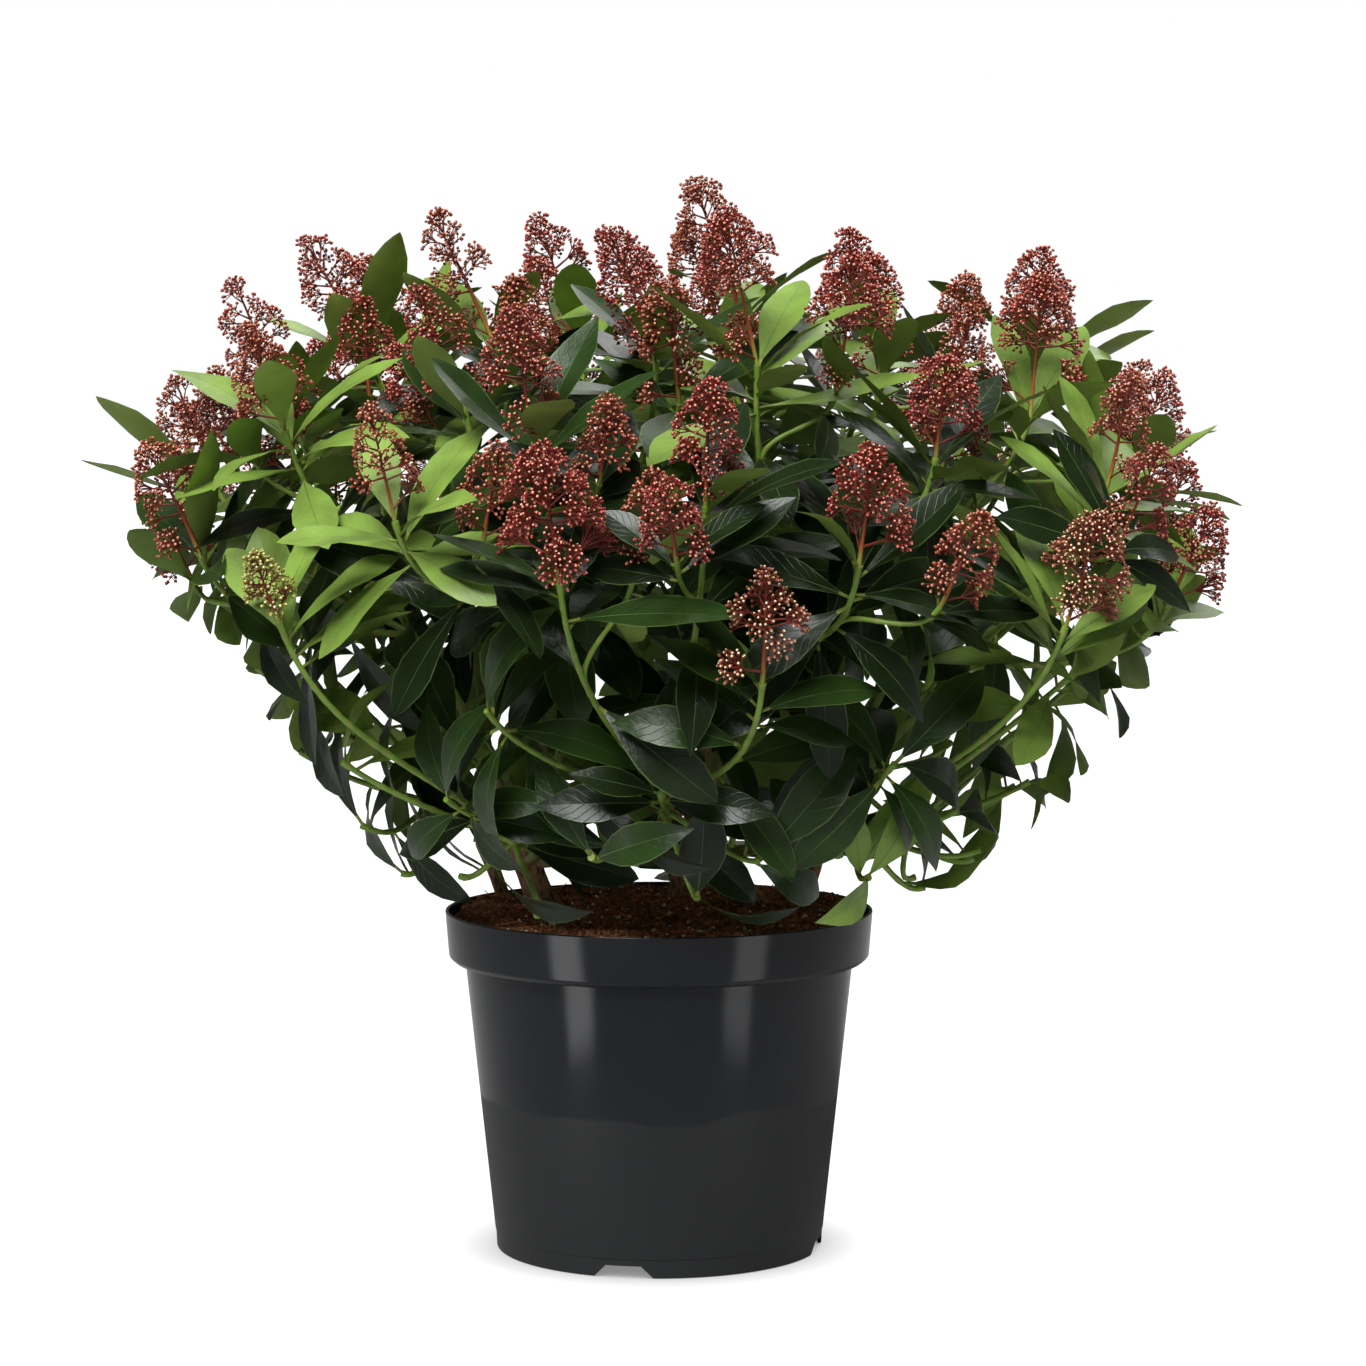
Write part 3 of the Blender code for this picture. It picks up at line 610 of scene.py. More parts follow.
def make_tubes(name, lines, extra, sides, closed, finish):
    """A piece of round limbs along lines given as (points, thickness, values of one more attribute)."""
    points, edges, thickness, others = [], [], [], []
    for spots, thick, other in lines:
        start = len(points)
        edges.extend((index, index + 1) for index in range(start, start + len(spots) - 1))
        points.extend(spots)
        thickness.extend(thick)
        others.extend(other)
    source = mesh_object(name + "_lines", points, [], edges)
    store(source.data, "thickness", thickness)
    store(source.data, extra, others)
    grow_with(source, tube_tree(), {"Sides": sides, "Closed": closed, "Finish": finish})
    make_plain(name, source, nodes_named("foliage_"))


def make_spread(name, kinds, spots, finishes):
    """A piece of shapes from a collection, at spots given as (place, kind, size, turn)."""
    places, picks, sizes, turns = zip(*spots)
    source = mesh_object(name + "_points", places, [])
    store(source.data, "kind", picks, "INT")
    store(source.data, "size", sizes)
    store(source.data, "turn", turns, "FLOAT_VECTOR")
    values = {f"Finish {index}": finish for index, finish in enumerate(finishes)}
    grow_with(source, spread_tree(len(finishes)), {"Kinds": kinds, **values})
    make_plain(name, source, nodes_named("foliage_"))


# Finishes.


def shaded(colour_value, factor):
    """A colour made lighter or darker by a factor."""
    return tuple(min(1.0, part * factor) for part in colour_value[:3]) + (1.0,)


class Finish:
    """A material in the making: its tree, its shader, and the object coordinates that its patterns follow."""

    def __init__(self, name, roughness, specular):
        self.material = bpy.data.materials.new(name)
        self.material.use_nodes = True
        self.tree = self.material.node_tree
        self.shader = self.tree.nodes["Principled BSDF"]
        self.shader.inputs["Roughness"].default_value = roughness
        self.shader.inputs["Specular IOR Level"].default_value = specular
        self.place = self.add("TexCoord", output="Object")

    def add(self, kind, inputs=None, output=0, **settings):
        return add_node(self.tree, "ShaderNode" + kind, inputs, output, **settings)

    def noise(self, size, detail, place=None):
        """Noise from 0 to 1, with lumps of a real size in metres."""
        return self.add("TexNoise", {"Vector": place or self.place, "Scale": 1.0 / size, "Detail": detail})

    def span(self, value, start, end, low=0.0, high=1.0):
        """How far a value is from start to end, as a number from low to high."""
        return self.add(
            "MapRange", {"Value": value, "From Min": start, "From Max": end, "To Min": low, "To Max": high}
        )

    def mix(self, share, first, second):
        return self.add("Mix", {0: share, 6: first, 7: second}, 2, data_type="RGBA")

    def math(self, operation, *values):
        return self.add("Math", dict(enumerate(values)), operation=operation)

    def stored(self, name):
        return self.add("Attribute", output="Fac", attribute_name=name)

    def wander(self, size, low, high, detail, place=None):
        """A colour that wanders between two shades over patches of a real size in metres."""
        return self.mix(self.span(self.noise(size, detail, place), 0.32, 0.68), low, high)

    def drive(self, socket, value):
        self.tree.links.new(value, self.shader.inputs[socket])

    def emboss(self, height, distance, strength):
        """Relief by a height, for the light alone."""
        self.drive("Normal", self.add("Bump", {"Height": height, "Distance": distance, "Strength": strength}))

    def roughen(self, size, distance, strength=1.0, place=None):
        """Fine relief of a real size and depth in metres."""
        self.emboss(self.noise(size, 2.0, place), distance, strength)


def one_tint(name, base, roughness, specular, size, shades, detail, relief):
    """A finish of one tint, which wanders between two shades, with fine relief as (size, depth, strength)."""
    made = Finish(name, roughness, specular)
    made.drive("Base Color", made.wander(size, shaded(base, shades[0]), shaded(base, shades[1]), detail))
    made.roughen(*relief)
    return made.material


def speckled(name, base, size, roughness, low, high):
    """Small broken matter, such as chips, grains and fibres: each a little lighter or darker."""
    return one_tint(name, base, roughness, 0.25, size, (low, high), 4.0, (size * 0.25, size * 0.08))


def leaf_underside(name, base):
    """The matt underside of a leaf, much lighter, as if light came through it."""
    return one_tint(name, base, 0.55, 0.35, 0.022, (0.84, 1.14), 2.0, (0.0030, 0.0003, 0.6))


def tinted(name, base, size, roughness):
    """Small living parts of one tint, such as buds, stalks and ribs, a little uneven from place to place."""
    return one_tint(name, base, roughness, 0.45, size, (0.72, 1.28), 1.0, (size * 0.4, size * 0.02))


def moulded_polypropylene(settings):
    """Injection-moulded polypropylene, satin: soft highlights, and low on the wall a lighter, rougher band,
    whose lighter colour is a painted reflection of the pale floor.
    """
    made = Finish("moulded_polypropylene", 0.30, 0.36)
    upper_wall = made.wander(0.060, settings.plastic, shaded(settings.plastic, 1.25), 3.0)
    height = made.add("SeparateXYZ", {"Vector": made.place}, "Z")
    # Below a wavy line about 11 cm up, the wall takes a painted reflection of the pale floor as its colour,
    # and is rougher.
    lifted = made.math("MULTIPLY_ADD", made.noise(1 / 16, 1.0), 0.016, height)
    low = made.span(lifted, 0.1125, 0.1095, 0.0, 0.9)
    made.drive("Base Color", made.mix(low, upper_wall, settings.floor_reflection))
    made.drive("Roughness", made.span(low, 0.0, 1.0, 0.13, 0.46))
    # The mould's fine grain is under 0.1 mm in life, and is drawn at 0.7 mm so that it shows.
    made.roughen(0.0007, 0.00006, 0.5)
    return made.material


def damp_peat(settings):
    """Damp peat compost: dark flecks, painted shade of the hollows between crumbs, reddish-brown crumbs, no
    shine.
    """
    made = Finish("damp_peat", 0.93, 0.25)
    coarse = made.wander(0.0065, settings.peat, settings.peat_dry, 6.0)
    # The darkest flecks are painted shade, as in the hollows between crumbs.
    crumbs = made.span(made.noise(1 / 900, 4.0), 0.38, 0.62)
    made.drive("Base Color", made.mix(crumbs, shaded(settings.peat, 0.6), coarse))
    made.roughen(0.0016, 0.0012)
    return made.material


def flaking_bark(settings):
    """Old flaking bark: pale brown plates, dark in the cracks, matt."""
    made = Finish("flaking_bark", 0.86, 0.3)
    long_grain = made.add("Mapping", {"Vector": made.place, "Scale": (1.0, 1.0, 0.28)})
    plates = made.wander(0.0032, shaded(settings.bark, 0.55), shaded(settings.bark, 1.15), 5.0, long_grain)
    made.drive("Base Color", made.mix(made.stored("crevice"), plates, settings.crevice))
    made.roughen(0.0012, 0.0006, 1.0, long_grain)
    return made.material


def green_bark(settings):
    """Bark of the boughs: brown and corky by the stem, turning green towards the node."""
    made = Finish("green_bark", 0.62, 0.4)
    old = made.wander(0.004, shaded(settings.bark, 0.5), shaded(settings.bark, 0.9), 4.0)
    young = made.wander(0.008, shaded(settings.green, 0.7), shaded(settings.green, 1.15), 3.0)
    age = made.math("MULTIPLY_ADD", made.noise(1 / 120, 3.0), 0.5, made.stored("age"))
    both = made.mix(made.span(age, 0.40, 0.75), old, young)
    made.drive("Base Color", made.mix(made.stored("crevice"), both, shaded(settings.scar, 0.6)))
    made.roughen(0.0015, 0.0003)
    return made.material


def smooth_shoot_skin(settings):
    """Skin of a young shoot: smooth, bright green, with a soft gloss and paler scars."""
    made = Finish("smooth_shoot_skin", 0.42, 0.45)
    made.shader.inputs["Subsurface Weight"].default_value = 0.12
    made.shader.inputs["Subsurface Radius"].default_value = (0.6, 1.0, 0.3)
    made.shader.inputs["Subsurface Scale"].default_value = 0.0012
    skin = made.wander(0.014, shaded(settings.shoot, 0.72), shaded(settings.shoot, 1.12), 3.0)
    made.drive("Base Color", made.mix(made.stored("scar"), skin, settings.scar))
    made.roughen(0.0014, 0.00012)
    return made.material


def waxy_leaf(name, base, margin, roughness):
    """The leathery upper side of a leaf: waxy gloss, faint side veins, and a thin light line along the
    margin, a painted highlight where light catches the thickened edge.
    """
    made = Finish(name, roughness, 0.30)
    body = made.wander(0.030, shaded(base, 0.78), shaded(base, 1.30), 2.0)
    flat = made.add("TexCoord", output="UV")
    width, length = (made.add("SeparateXYZ", {"Vector": flat}, axis) for axis in "XY")
    from_rib = made.math("ABSOLUTE", made.math("SUBTRACT", width, 0.5))
    slanted = made.math("MULTIPLY_ADD", from_rib, -0.42, length)
    # Ten side veins to a leaf are about 9 mm apart.
    fold = made.math("PINGPONG", made.math("MULTIPLY", slanted, 10.0), 0.5)
    vein = made.span(fold, 0.0, 0.07, 0.16, 0.0)
    veined = made.mix(vein, body, shaded(base, 2.2))
    # The thin light line along the margin is a painted highlight.
    made.drive("Base Color", made.mix(made.span(from_rib, 0.462, 0.496, 0.0, 0.5), veined, margin))
    made.emboss(made.math("MULTIPLY_ADD", vein, -1.2, made.noise(1 / 140, 2.0)), 0.0006, 0.55)
    return made.material


def flower_stalk_skin(settings):
    """Skin of the stalks in a flower head: olive at the foot, then orange-brown, and dark red above."""
    made = Finish("flower_stalk_skin", 0.48, 0.45)
    red = made.wander(0.006, shaded(settings.stalk, 0.75), shaded(settings.stalk, 1.3), 1.0)
    foot = made.stored("foot")
    brown = made.mix(foot, red, settings.peduncle)
    made.drive("Base Color", made.mix(made.span(foot, 0.6, 1.0), brown, settings.foot))
    made.roughen(0.0015, 0.0001)
    return made.material


# The rule that the plant grows by, as in the solids.


def smooth_between(table, value):
    """The value of a table of (place, height) at a place, eased between its rows."""
    if value <= table[0][0]:
        return table[0][1]
    for (start, low), (end, high) in zip(table, table[1:]):
        if value <= end:
            share = (value - start) / (end - start)
            return between(low, high, share * share * (3.0 - 2.0 * share))
    return table[-1][1]


def crown_direction(polar, azimuth):
    flat = math.sin(polar)
    return Vector((flat * math.cos(azimuth), flat * math.sin(azimuth) * CROWN_DEPTH, math.cos(polar)))


def inside_outline(points):
    """Whether points stay within the crown's outline, which is narrower at its lower left."""
    for point in points:
        offset = point - CROWN_CENTRE
        offset.y /= CROWN_DEPTH
        if offset.x < 0.0:
            offset.x *= 1.0 + LEFT_NARROWING * max(0.0, 1.0 - offset.z / LEFT_NARROW_HEIGHT)
        polar = math.degrees(offset.angle(UP, 0.0))
        if offset.length > smooth_between(OUTLINE_BY_POLAR, polar):
            return False
    return True


def spread_over_dome(count, widest_polar, turn):
    """Directions spread evenly over a dome by the golden angle, as (polar, azimuth)."""
    lowest = math.cos(widest_polar)
    for index in range(count):
        height = 1.0 - (index + 0.5) / count * (1.0 - lowest)
        yield math.acos(height), index * GOLDEN_ANGLE + turn


def bezier(start, start_pull, end_pull, end, steps):
    """Points and directions along one cubic curve."""
    found = []
    for step in range(steps + 1):
        t = step / steps
        s = 1.0 - t
        point = start * s**3 + start_pull * 3 * s * s * t + end_pull * 3 * s * t * t + end * t**3
        leaving, turning = (start_pull - start) * 3 * s * s, (end_pull - start_pull) * 6 * s * t
        slope = leaving + turning + (end - end_pull) * 3 * t * t
        found.append((point, slope.normalized()))
    return found


def grow_skeleton():
    """The boughs and their shoots as plain values, which the shapes below are built on."""
    chance = random.Random(SKELETON_SEED)
    heads = [crown_direction(p, a) for p, a in spread_over_dome(BOUGH_COUNT, BOUGH_POLAR, 0.9)]
    shoots = []
    for index, (polar, azimuth) in enumerate(spread_over_dome(SHOOT_COUNT, CROWN_POLAR, 0.35)):
        polar = abs(polar + chance.uniform(-0.035, 0.035))
        azimuth += chance.uniform(-0.05, 0.05)
        outward = crown_direction(polar, azimuth)
        flowering = polar < FLOWERING_POLAR or index in LATE_SHOOTS
        upright = UPRIGHT_FLOWERING if flowering else UPRIGHT_LEAFY
        reach = smooth_between(REACH_BY_POLAR, math.degrees(polar)) * chance.uniform(0.955, 1.02)
        heading = (outward * (1.0 - upright) + UP * upright).normalized()
        length = HEAD_LENGTH if flowering else 0.095 * 0.8
        nearest = max(range(len(heads)), key=lambda k: heads[k].normalized().dot(outward.normalized()))
        shoots.append(
            {
                "bough": nearest,
                "flowering": flowering,
                "whorl": CROWN_CENTRE + outward * reach - heading * length,
                "heading": heading,
                "size": chance.uniform(0.86, 1.1),
                "late": index if index in LATE_SHOOTS else 0,
            }
        )
    boughs = []
    for index in range(len(heads)):
        mine = [shoot for shoot in shoots if shoot["bough"] == index]
        middle = sum((shoot["whorl"] for shoot in mine), Vector()) / len(mine)
        node = CROWN_CENTRE + (middle - CROWN_CENTRE) * NODE_SHARE
        boughs.append({"node": node, "shoots": mine, "middle": middle, "low": False})
    for degrees in LOW_AZIMUTHS:
        azimuth = math.radians(degrees)
        out = Vector((math.cos(azimuth), math.sin(azimuth), 0.0))
        node = CROWN_CENTRE + out * LOW_NODE[0] + UP * LOW_NODE[1]
        whorl = CROWN_CENTRE + out * LOW_WHORL[0] + UP * LOW_WHORL[1]
        heading = (out * 0.9 + UP * 0.35).normalized()
        shoot = {"flowering": False, "whorl": whorl, "heading": heading, "size": 1.0, "late": 0}
        boughs.append({"node": node, "shoots": [shoot], "middle": whorl, "low": True})
    for bough in boughs:
        for rank, shoot in enumerate(bough["shoots"]):
            shoot["rank"] = rank
        bough["stem"] = min(STEMS, key=lambda name: (stem_fork(name) - bough["node"]).xy.length)
    return boughs


def stem_foot(name):
    return Vector((*STEMS[name]["foot"], SOIL_TOP_HEIGHT + GAP))


def stem_fork(name):
    return stem_foot(name) + Vector(STEMS[name]["fork"])


def stem_centre(name, height):
    """The middle line of a woody stem at a height over its foot."""
    foot, fork = stem_foot(name), stem_fork(name)
    run = fork - foot
    share = height / run.z
    bulge = Vector((run.y, -run.x, 0.0)) * 0.06
    return foot + run * share + bulge * math.sin(math.pi * max(0.0, share))


def bough_path(bough, steps):
    """A bough leaves its stem outwards, and turns up towards its node."""
    foot, fork = stem_foot(bough["stem"]), stem_fork(bough["stem"])
    out = (bough["node"] - fork).normalized()
    lean = math.acos(max(-1.0, min(1.0, out.z)))
    start = fork.lerp(foot, 0.10 + 0.28 * lean / math.pi * 2)
    run = (bough["node"] - start).length
    rise = (out * 0.8 + UP * 0.2).normalized()
    arrive = ((bough["middle"] - bough["node"]).normalized() * 0.8 + out * 0.5).normalized()
    return bezier(start, start + rise * run * 0.3, bough["node"] - arrive * run * 0.35, bough["node"], steps)


def shoot_path(node, arrive, shoot, steps):
    """A shoot leaves the node sideways, each a little lower than the last, and rises to its whorl."""
    start = node - arrive * (0.002 + 0.0016 * shoot["rank"])
    run = shoot["whorl"] - start
    sideways = (run - arrive * run.dot(arrive)).normalized()
    leave = (arrive * 0.75 + sideways * 0.66).normalized()
    start_pull = start + leave * run.length * 0.28
    end_pull = shoot["whorl"] - shoot["heading"] * run.length * 0.38
    return bezier(start, start_pull, end_pull, shoot["whorl"], steps)


def place_on(path, share):
    """The point and direction at a share of a path's steps."""
    spot = clamp(share) * (len(path) - 1)
    index = min(int(spot), len(path) - 2)
    part = spot - index
    (point, direction), (next_point, next_direction) = path[index], path[index + 1]
    return point.lerp(next_point, part), direction.lerp(next_direction, part).normalized()


def path_length(path):
    return sum((after[0] - before[0]).length for before, after in zip(path, path[1:]))


# The pot.


def rounded(profile, radius):
    """A section with its outer corners cut to five points each, so that moulded edges catch the light."""
    found = [profile[0]]
    for before, here, after in zip(profile, profile[1:], profile[2:]):
        before, here, after = Vector(before), Vector(here), Vector(after)
        reach = min(radius, (before - here).length * 0.4, (after - here).length * 0.4)
        start = here + (before - here).normalized() * reach
        end = here + (after - here).normalized() * reach
        for share in (0.0, 0.25, 0.5, 0.75, 1.0):
            point = start * (1 - share) ** 2 + here * 2 * share * (1 - share) + end * share**2
            found.append((point.x, point.y))
    return found + [profile[-1]]


def turned_shape(profile, sides):
    """A closed solid turned about Z from (radius, height) points, which start and end on the axis."""
    points = [Vector((0.0, 0.0, profile[0][1]))]
    for radius, height in profile[1:-1]:
        points.extend(Vector((radius * c, radius * s, height)) for c, s in circle(sides))
    points.append(Vector((0.0, 0.0, profile[-1][1])))
    return points, closed_faces(len(profile) - 2, sides)


def pot_profile():
    """The shell's section: underside, outer wall, rim and inner wall, from the axis back to the axis."""
    foot_inner = FOOT_RADIUS - WALL - 0.0004
    return (
        (0.0, 0.0),
        (BOSS_RADIUS, 0.0),
        (BOSS_RADIUS, FLOOR_HEIGHT),
        (foot_inner, FLOOR_HEIGHT),
        (foot_inner, 0.0),
        (FOOT_RADIUS, 0.0),
        (FOOT_RADIUS + 0.0007, 0.0118),
        (FOOT_RADIUS + 0.00115, 0.0121),
        (BODY_TOP_RADIUS, LEDGE),
        (RIM_RADIUS - 0.0062, LEDGE),
        (RIM_RADIUS - 0.0024, LEDGE + 0.0034),
        (RIM_RADIUS, POT_HEIGHT),
        (RIM_RADIUS - WALL, POT_HEIGHT),
        (RIM_RADIUS - 0.0024 - WALL, LEDGE + 0.0048),
        (BODY_TOP_RADIUS - WALL, LEDGE + WALL),
        (FOOT_RADIUS - WALL + 0.0008, FLOOR_HEIGHT + WALL),
        (0.0, FLOOR_HEIGHT + WALL),
    )


def notch_shape(angle):
    """A wedge that opens the foot ring, wider at the ground than at its top."""
    turn = Matrix.Rotation(angle, 4, "Z")
    ends = ((NOTCH_FOOT_WIDTH * 1.13, -0.001), (NOTCH_TOP_WIDTH, NOTCH_HEIGHT))
    corners = [
        turn @ Vector((radius, width * side, height))
        for radius in (FOOT_RADIUS - 0.012, FOOT_RADIUS + 0.006)
        for width, height in ends
        for side in (-0.5, 0.5)
    ]
    return corners, [(0, 2, 3, 1), (4, 5, 7, 6), (0, 1, 5, 4), (2, 6, 7, 3), (0, 4, 6, 2), (1, 3, 7, 5)]


def drain_shape(angle):
    """A round drain hole through the raised floor, in line with a notch."""
    centre = Vector((math.cos(angle), math.sin(angle), 0.0)) * DRAIN_RING_RADIUS
    low, high = FLOOR_HEIGHT - 0.004, FLOOR_HEIGHT + 0.006
    points, faces = turned_shape(((0.0, low), (DRAIN_RADIUS, low), (DRAIN_RADIUS, high), (0.0, high)), 24)
    return [centre + point for point in points], faces


class SKIMMIA_OT_pot(bpy.types.Operator):
    """Makes the moulded pot with its rim band, foot notches and drain holes"""

    bl_idname = "skimmia.pot"
    bl_label = "Pot"

    def execute(self, context):
        settings = context.scene.skimmia_pot
        body = mesh_object("pot_body", *turned_shape(rounded(pot_profile(), settings.edge_round), POT_SIDES))
        tools = bpy.data.collections.new("pot_tools")
        context.scene.collection.children.link(tools)
        for index in range(NOTCH_COUNT):
            angle = NOTCH_TURN + 2 * math.pi * index / NOTCH_COUNT
            mesh_object("notch", *notch_shape(angle), collection=tools)
            mesh_object("drain", *drain_shape(angle), collection=tools)
        cut = body.modifiers.new("cut", "BOOLEAN")
        cut.operand_type = "COLLECTION"
        cut.collection = tools
        cut.solver = "EXACT"
        body.data.materials.append(moulded_polypropylene(settings))
        piece = make_plain("nursery_pot", body, ["pot"])
        drop_collection(tools)
        piece.data.shade_smooth()
        piece.data.set_sharp_from_angle(angle=math.radians(38))
        return {"FINISHED"}


# The compost.


def compost_height(x, y, lumps):
    """The height of the compost's rough surface at a place."""
    radius = math.hypot(x, y)
    share = clamp((radius - SOIL_PLATEAU_RADIUS) / (RIM_RADIUS - 0.004 - SOIL_PLATEAU_RADIUS))
    heap = max(0.0, 0.45 * y + 0.25 * abs(x)) * 0.10 * max(0.0, 1.0 - share)
    for spot, size, rise in HEAPS:
        heap += rise * hump(math.hypot(x - spot[0], y - spot[1]), 0.0, size)
    place = Vector((x, y, 0.0))
    rough = noise.noise(place * 55) * 0.9 + noise.noise(place * 140 + UP) * 0.55
    rough += abs(noise.noise(place * 330 + UP * 3)) * 0.40 + noise.noise(place * 700) * 0.16
    calm = 1.0 - 0.55 * share
    return between(SOIL_TOP_HEIGHT, SOIL_EDGE_HEIGHT, share) + heap + rough * lumps * 0.62 * calm


class SKIMMIA_OT_compost(bpy.types.Operator):
    """Makes the compost with its clods, filling the pot"""

    bl_idname = "skimmia.compost"
    bl_label = "Compost"

    def execute(self, context):
        settings = context.scene.skimmia_compost
        widest = RIM_RADIUS - 0.0014 - WALL - 0.0006
        wall = (
            (FOOT_RADIUS - WALL + 0.0002, FLOOR_HEIGHT + WALL + GAP),
            (BODY_TOP_RADIUS - WALL - 0.0008, LEDGE + WALL + GAP),
            (RIM_RADIUS - 0.0024 - WALL - 0.0008, LEDGE + 0.0048 + GAP),
        )
        corners = circle(SOIL_SIDES)
        points = [Vector((0.0, 0.0, FLOOR_HEIGHT + WALL + GAP))]
        for radius, height in wall:
            points.extend(Vector((radius * c, radius * s, height)) for c, s in corners)
        for ring in range(SOIL_RINGS):
            radius = widest * (1.0 - ring / SOIL_RINGS)
            for x, y in ((radius * c, radius * s) for c, s in corners):
                points.append(Vector((x, y, compost_height(x, y, settings.lumps))))
        points.append(Vector((0.0, 0.0, compost_height(0.0, 0.0, settings.lumps))))
        faces = closed_faces(len(wall) + SOIL_RINGS, SOIL_SIDES)
        smooth_piece("compost_bed", points, faces, damp_peat(settings), ["soil"])
        return {"FINISHED"}


def broken_lump(name, collection, seed, stretch):
    """A small uneven lump of twenty faces, one across."""
    shape = bmesh.new()
    bmesh.ops.create_icosphere(shape, subdivisions=1, radius=0.5)
    for vertex in shape.verts:
        wobble = noise.noise(vertex.co * 2.3 + Vector((seed * 7.1, 0, 0)))
        vertex.co = vertex.co * (1.0 + 0.75 * wobble) * Vector(stretch)
    mesh = bpy.data.meshes.new(name)
    shape.to_mesh(mesh)
    shape.free()
    collection.objects.link(bpy.data.objects.new(name, mesh))


def bent_strand(name, collection, seed):
    """A thin bent strand, one long, with three sides."""
    chance = random.Random(seed)
    place = Vector((-0.5, 0.0, 0.0))
    heading = chance.uniform(-0.7, 0.7)
    turn = chance.uniform(-0.9, 0.9)
    points = []
    steps = 5
    for step in range(steps + 1):
        thick = 0.020 * (1.0 - 0.5 * step / steps)
        points.extend(place + Vector((0.0, c * thick, s * thick)) for c, s in circle(3))
        heading += turn / steps + chance.uniform(-0.3, 0.3)
        rise = 0.10 * math.sin(math.pi * step / steps + 0.4) * chance.uniform(-0.4, 1.0)
        place = place + Vector((math.cos(heading), math.sin(heading), rise)) / steps
    ends = [(2, 1, 0), (steps * 3, steps * 3 + 1, steps * 3 + 2)]
    mesh_object(name, points, tube_faces(steps + 1, 3) + ends, collection=collection)


class SKIMMIA_OT_litter(bpy.types.Operator):
    """Strews crumbs, pale grains, bark chips and fibres over the compost"""

    bl_idname = "skimmia.litter"
    bl_label = "Crumbs, grains, chips and fibres"

    def execute(self, context):
        settings = context.scene.skimmia_compost
        # Each lot: density, least and most size, tilt, reach, seed, finish, and the stretch of its lumps.
        lots = {
            "peat_crumbs": (
                settings.crumb_density, 0.0016, 0.0052, 3.1, 0.1320, 3,
                speckled("peat_crumb", settings.peat_dry, 0.004, 0.95, 0.34, 1.15), (1.0, 0.8, 0.7),
            ),
            "perlite_grains": (
                settings.perlite_density, 0.0020, 0.0044, 3.1, 0.1310, 8,
                speckled("porous_perlite", settings.perlite, 0.003, 0.9, 0.85, 1.15), (1.0, 0.75, 0.7),
            ),
            "bark_chips": (
                settings.chip_density, 0.005, 0.013, 0.5, 0.1260, 15,
                speckled("broken_bark", settings.chip, 0.005, 0.9, 0.35, 1.35), (1.0, 0.55, 0.20),
            ),
            "root_fibres": (
                settings.fibre_density, 0.008, 0.024, 0.35, 0.1220, 23,
                speckled("coir_and_root_fibre", settings.fibre, 0.006, 0.85, 0.35, 1.4), None,
            ),
        }
        labels = ("Density", "Least", "Most", "Tilt", "Reach", "Seed", "Finish")
        for name, (*values, stretch) in lots.items():
            kinds = bpy.data.collections.new(name + "_kinds")
            for index in range(LITTER_KINDS):
                if stretch:
                    broken_lump(f"{name}_{index}", kinds, values[5] + index, stretch)
                else:
                    bent_strand(f"{name}_{index}", kinds, 40 + index)
            source = bpy.data.objects.new(name + "_source", context.scene.objects["compost_bed"].data.copy())
            context.scene.collection.objects.link(source)
            source.data.materials.clear()
            grow_with(source, litter_tree(), {"Kinds": kinds, **dict(zip(labels, values))})
            make_plain(name, source, [])
            drop_collection(kinds)
        return {"FINISHED"}


# The stems and boughs.


def bark_limb(path, radii, sides, depth, grain, seed, end_bulge):
    """A round limb with bark relief along a path, closed at both ends. Each point also tells how far it lies
    in a crack. The middle of each end stands out by end_bulge times its radius."""
    points, cracks = [], []
    shift = Vector((seed * 3.7, seed * 1.3, 0.0))
    travelled = 0.0
    corners = circle(sides)
    for index, ((point, direction, side, other), radius) in enumerate(zip(framed(path), radii)):
        if index:
            travelled += (point - path[index - 1][0]).length
        for c, s in corners:
            spot = Vector((c * radius / grain, s * radius / grain, travelled / grain / 4.5))
            crack = max(0.0, 1.0 - abs(noise.noise(spot + shift)) / 0.16)
            plate = noise.noise(spot * 0.55 + shift + UP * 5)
            fine = noise.noise(spot * 3.1 + shift)
            bulge = depth * (0.75 * plate + 0.22 * fine - 0.85 * crack)
            points.append(point + (side * c + other * s) * (radius + bulge))
            cracks.append(crack)
    faces = tube_faces(len(path), sides)
    for ring, away in ((0, -1), (len(path) - 1, 1)):
        middle = len(points)
        point, direction = path[ring]
        points.append(point + direction * away * radii[ring] * end_bulge)
        cracks.append(0.0)
        for corner in range(sides):
            low, after = ring * sides + corner, ring * sides + (corner + 1) % sides
            faces.append((low, after, middle) if away > 0 else (after, low, middle))
    return points, faces, cracks


class SKIMMIA_OT_stems(bpy.types.Operator):
    """Makes the woody stems with their flaking bark and root flare"""

    bl_idname = "skimmia.stems"
    bl_label = "Woody stems"

    def execute(self, context):
        settings = context.scene.skimmia_wood
        finish = flaking_bark(settings)
        for order, (name, stem) in enumerate(STEMS.items(), start=1):
            thick, thin = stem["radii"]
            top = stem["fork"][2]
            path, radii = [], []
            height = -STEM_SINK
            while height < top:
                centre = stem_centre(name, height)
                ahead = stem_centre(name, height + 0.002)
                flare = 1.0 + (FLARE - 1.0) * max(0.0, 1.0 - max(0.0, height) / FLARE_HEIGHT) ** 1.5
                close = min(1.0, max(0.12, (top - height) / 0.006)) ** 0.5
                knuckle = 1.0 + 0.22 * hump(height, top * 0.78, 0.011)
                path.append((centre, (ahead - centre).normalized()))
                radii.append(between(thick, thin, max(0.0, height / top)) * flare * close * knuckle)
                height += STEM_STEP
            depth = settings.relief * (thick / 0.0105) ** 0.5
            points, faces, cracks = bark_limb(path, radii, 44, depth, 0.0036, order, 0.5)
            smooth_piece(name + "_bark", points, faces, finish, [name], {"crevice": cracks})
        return {"FINISHED"}


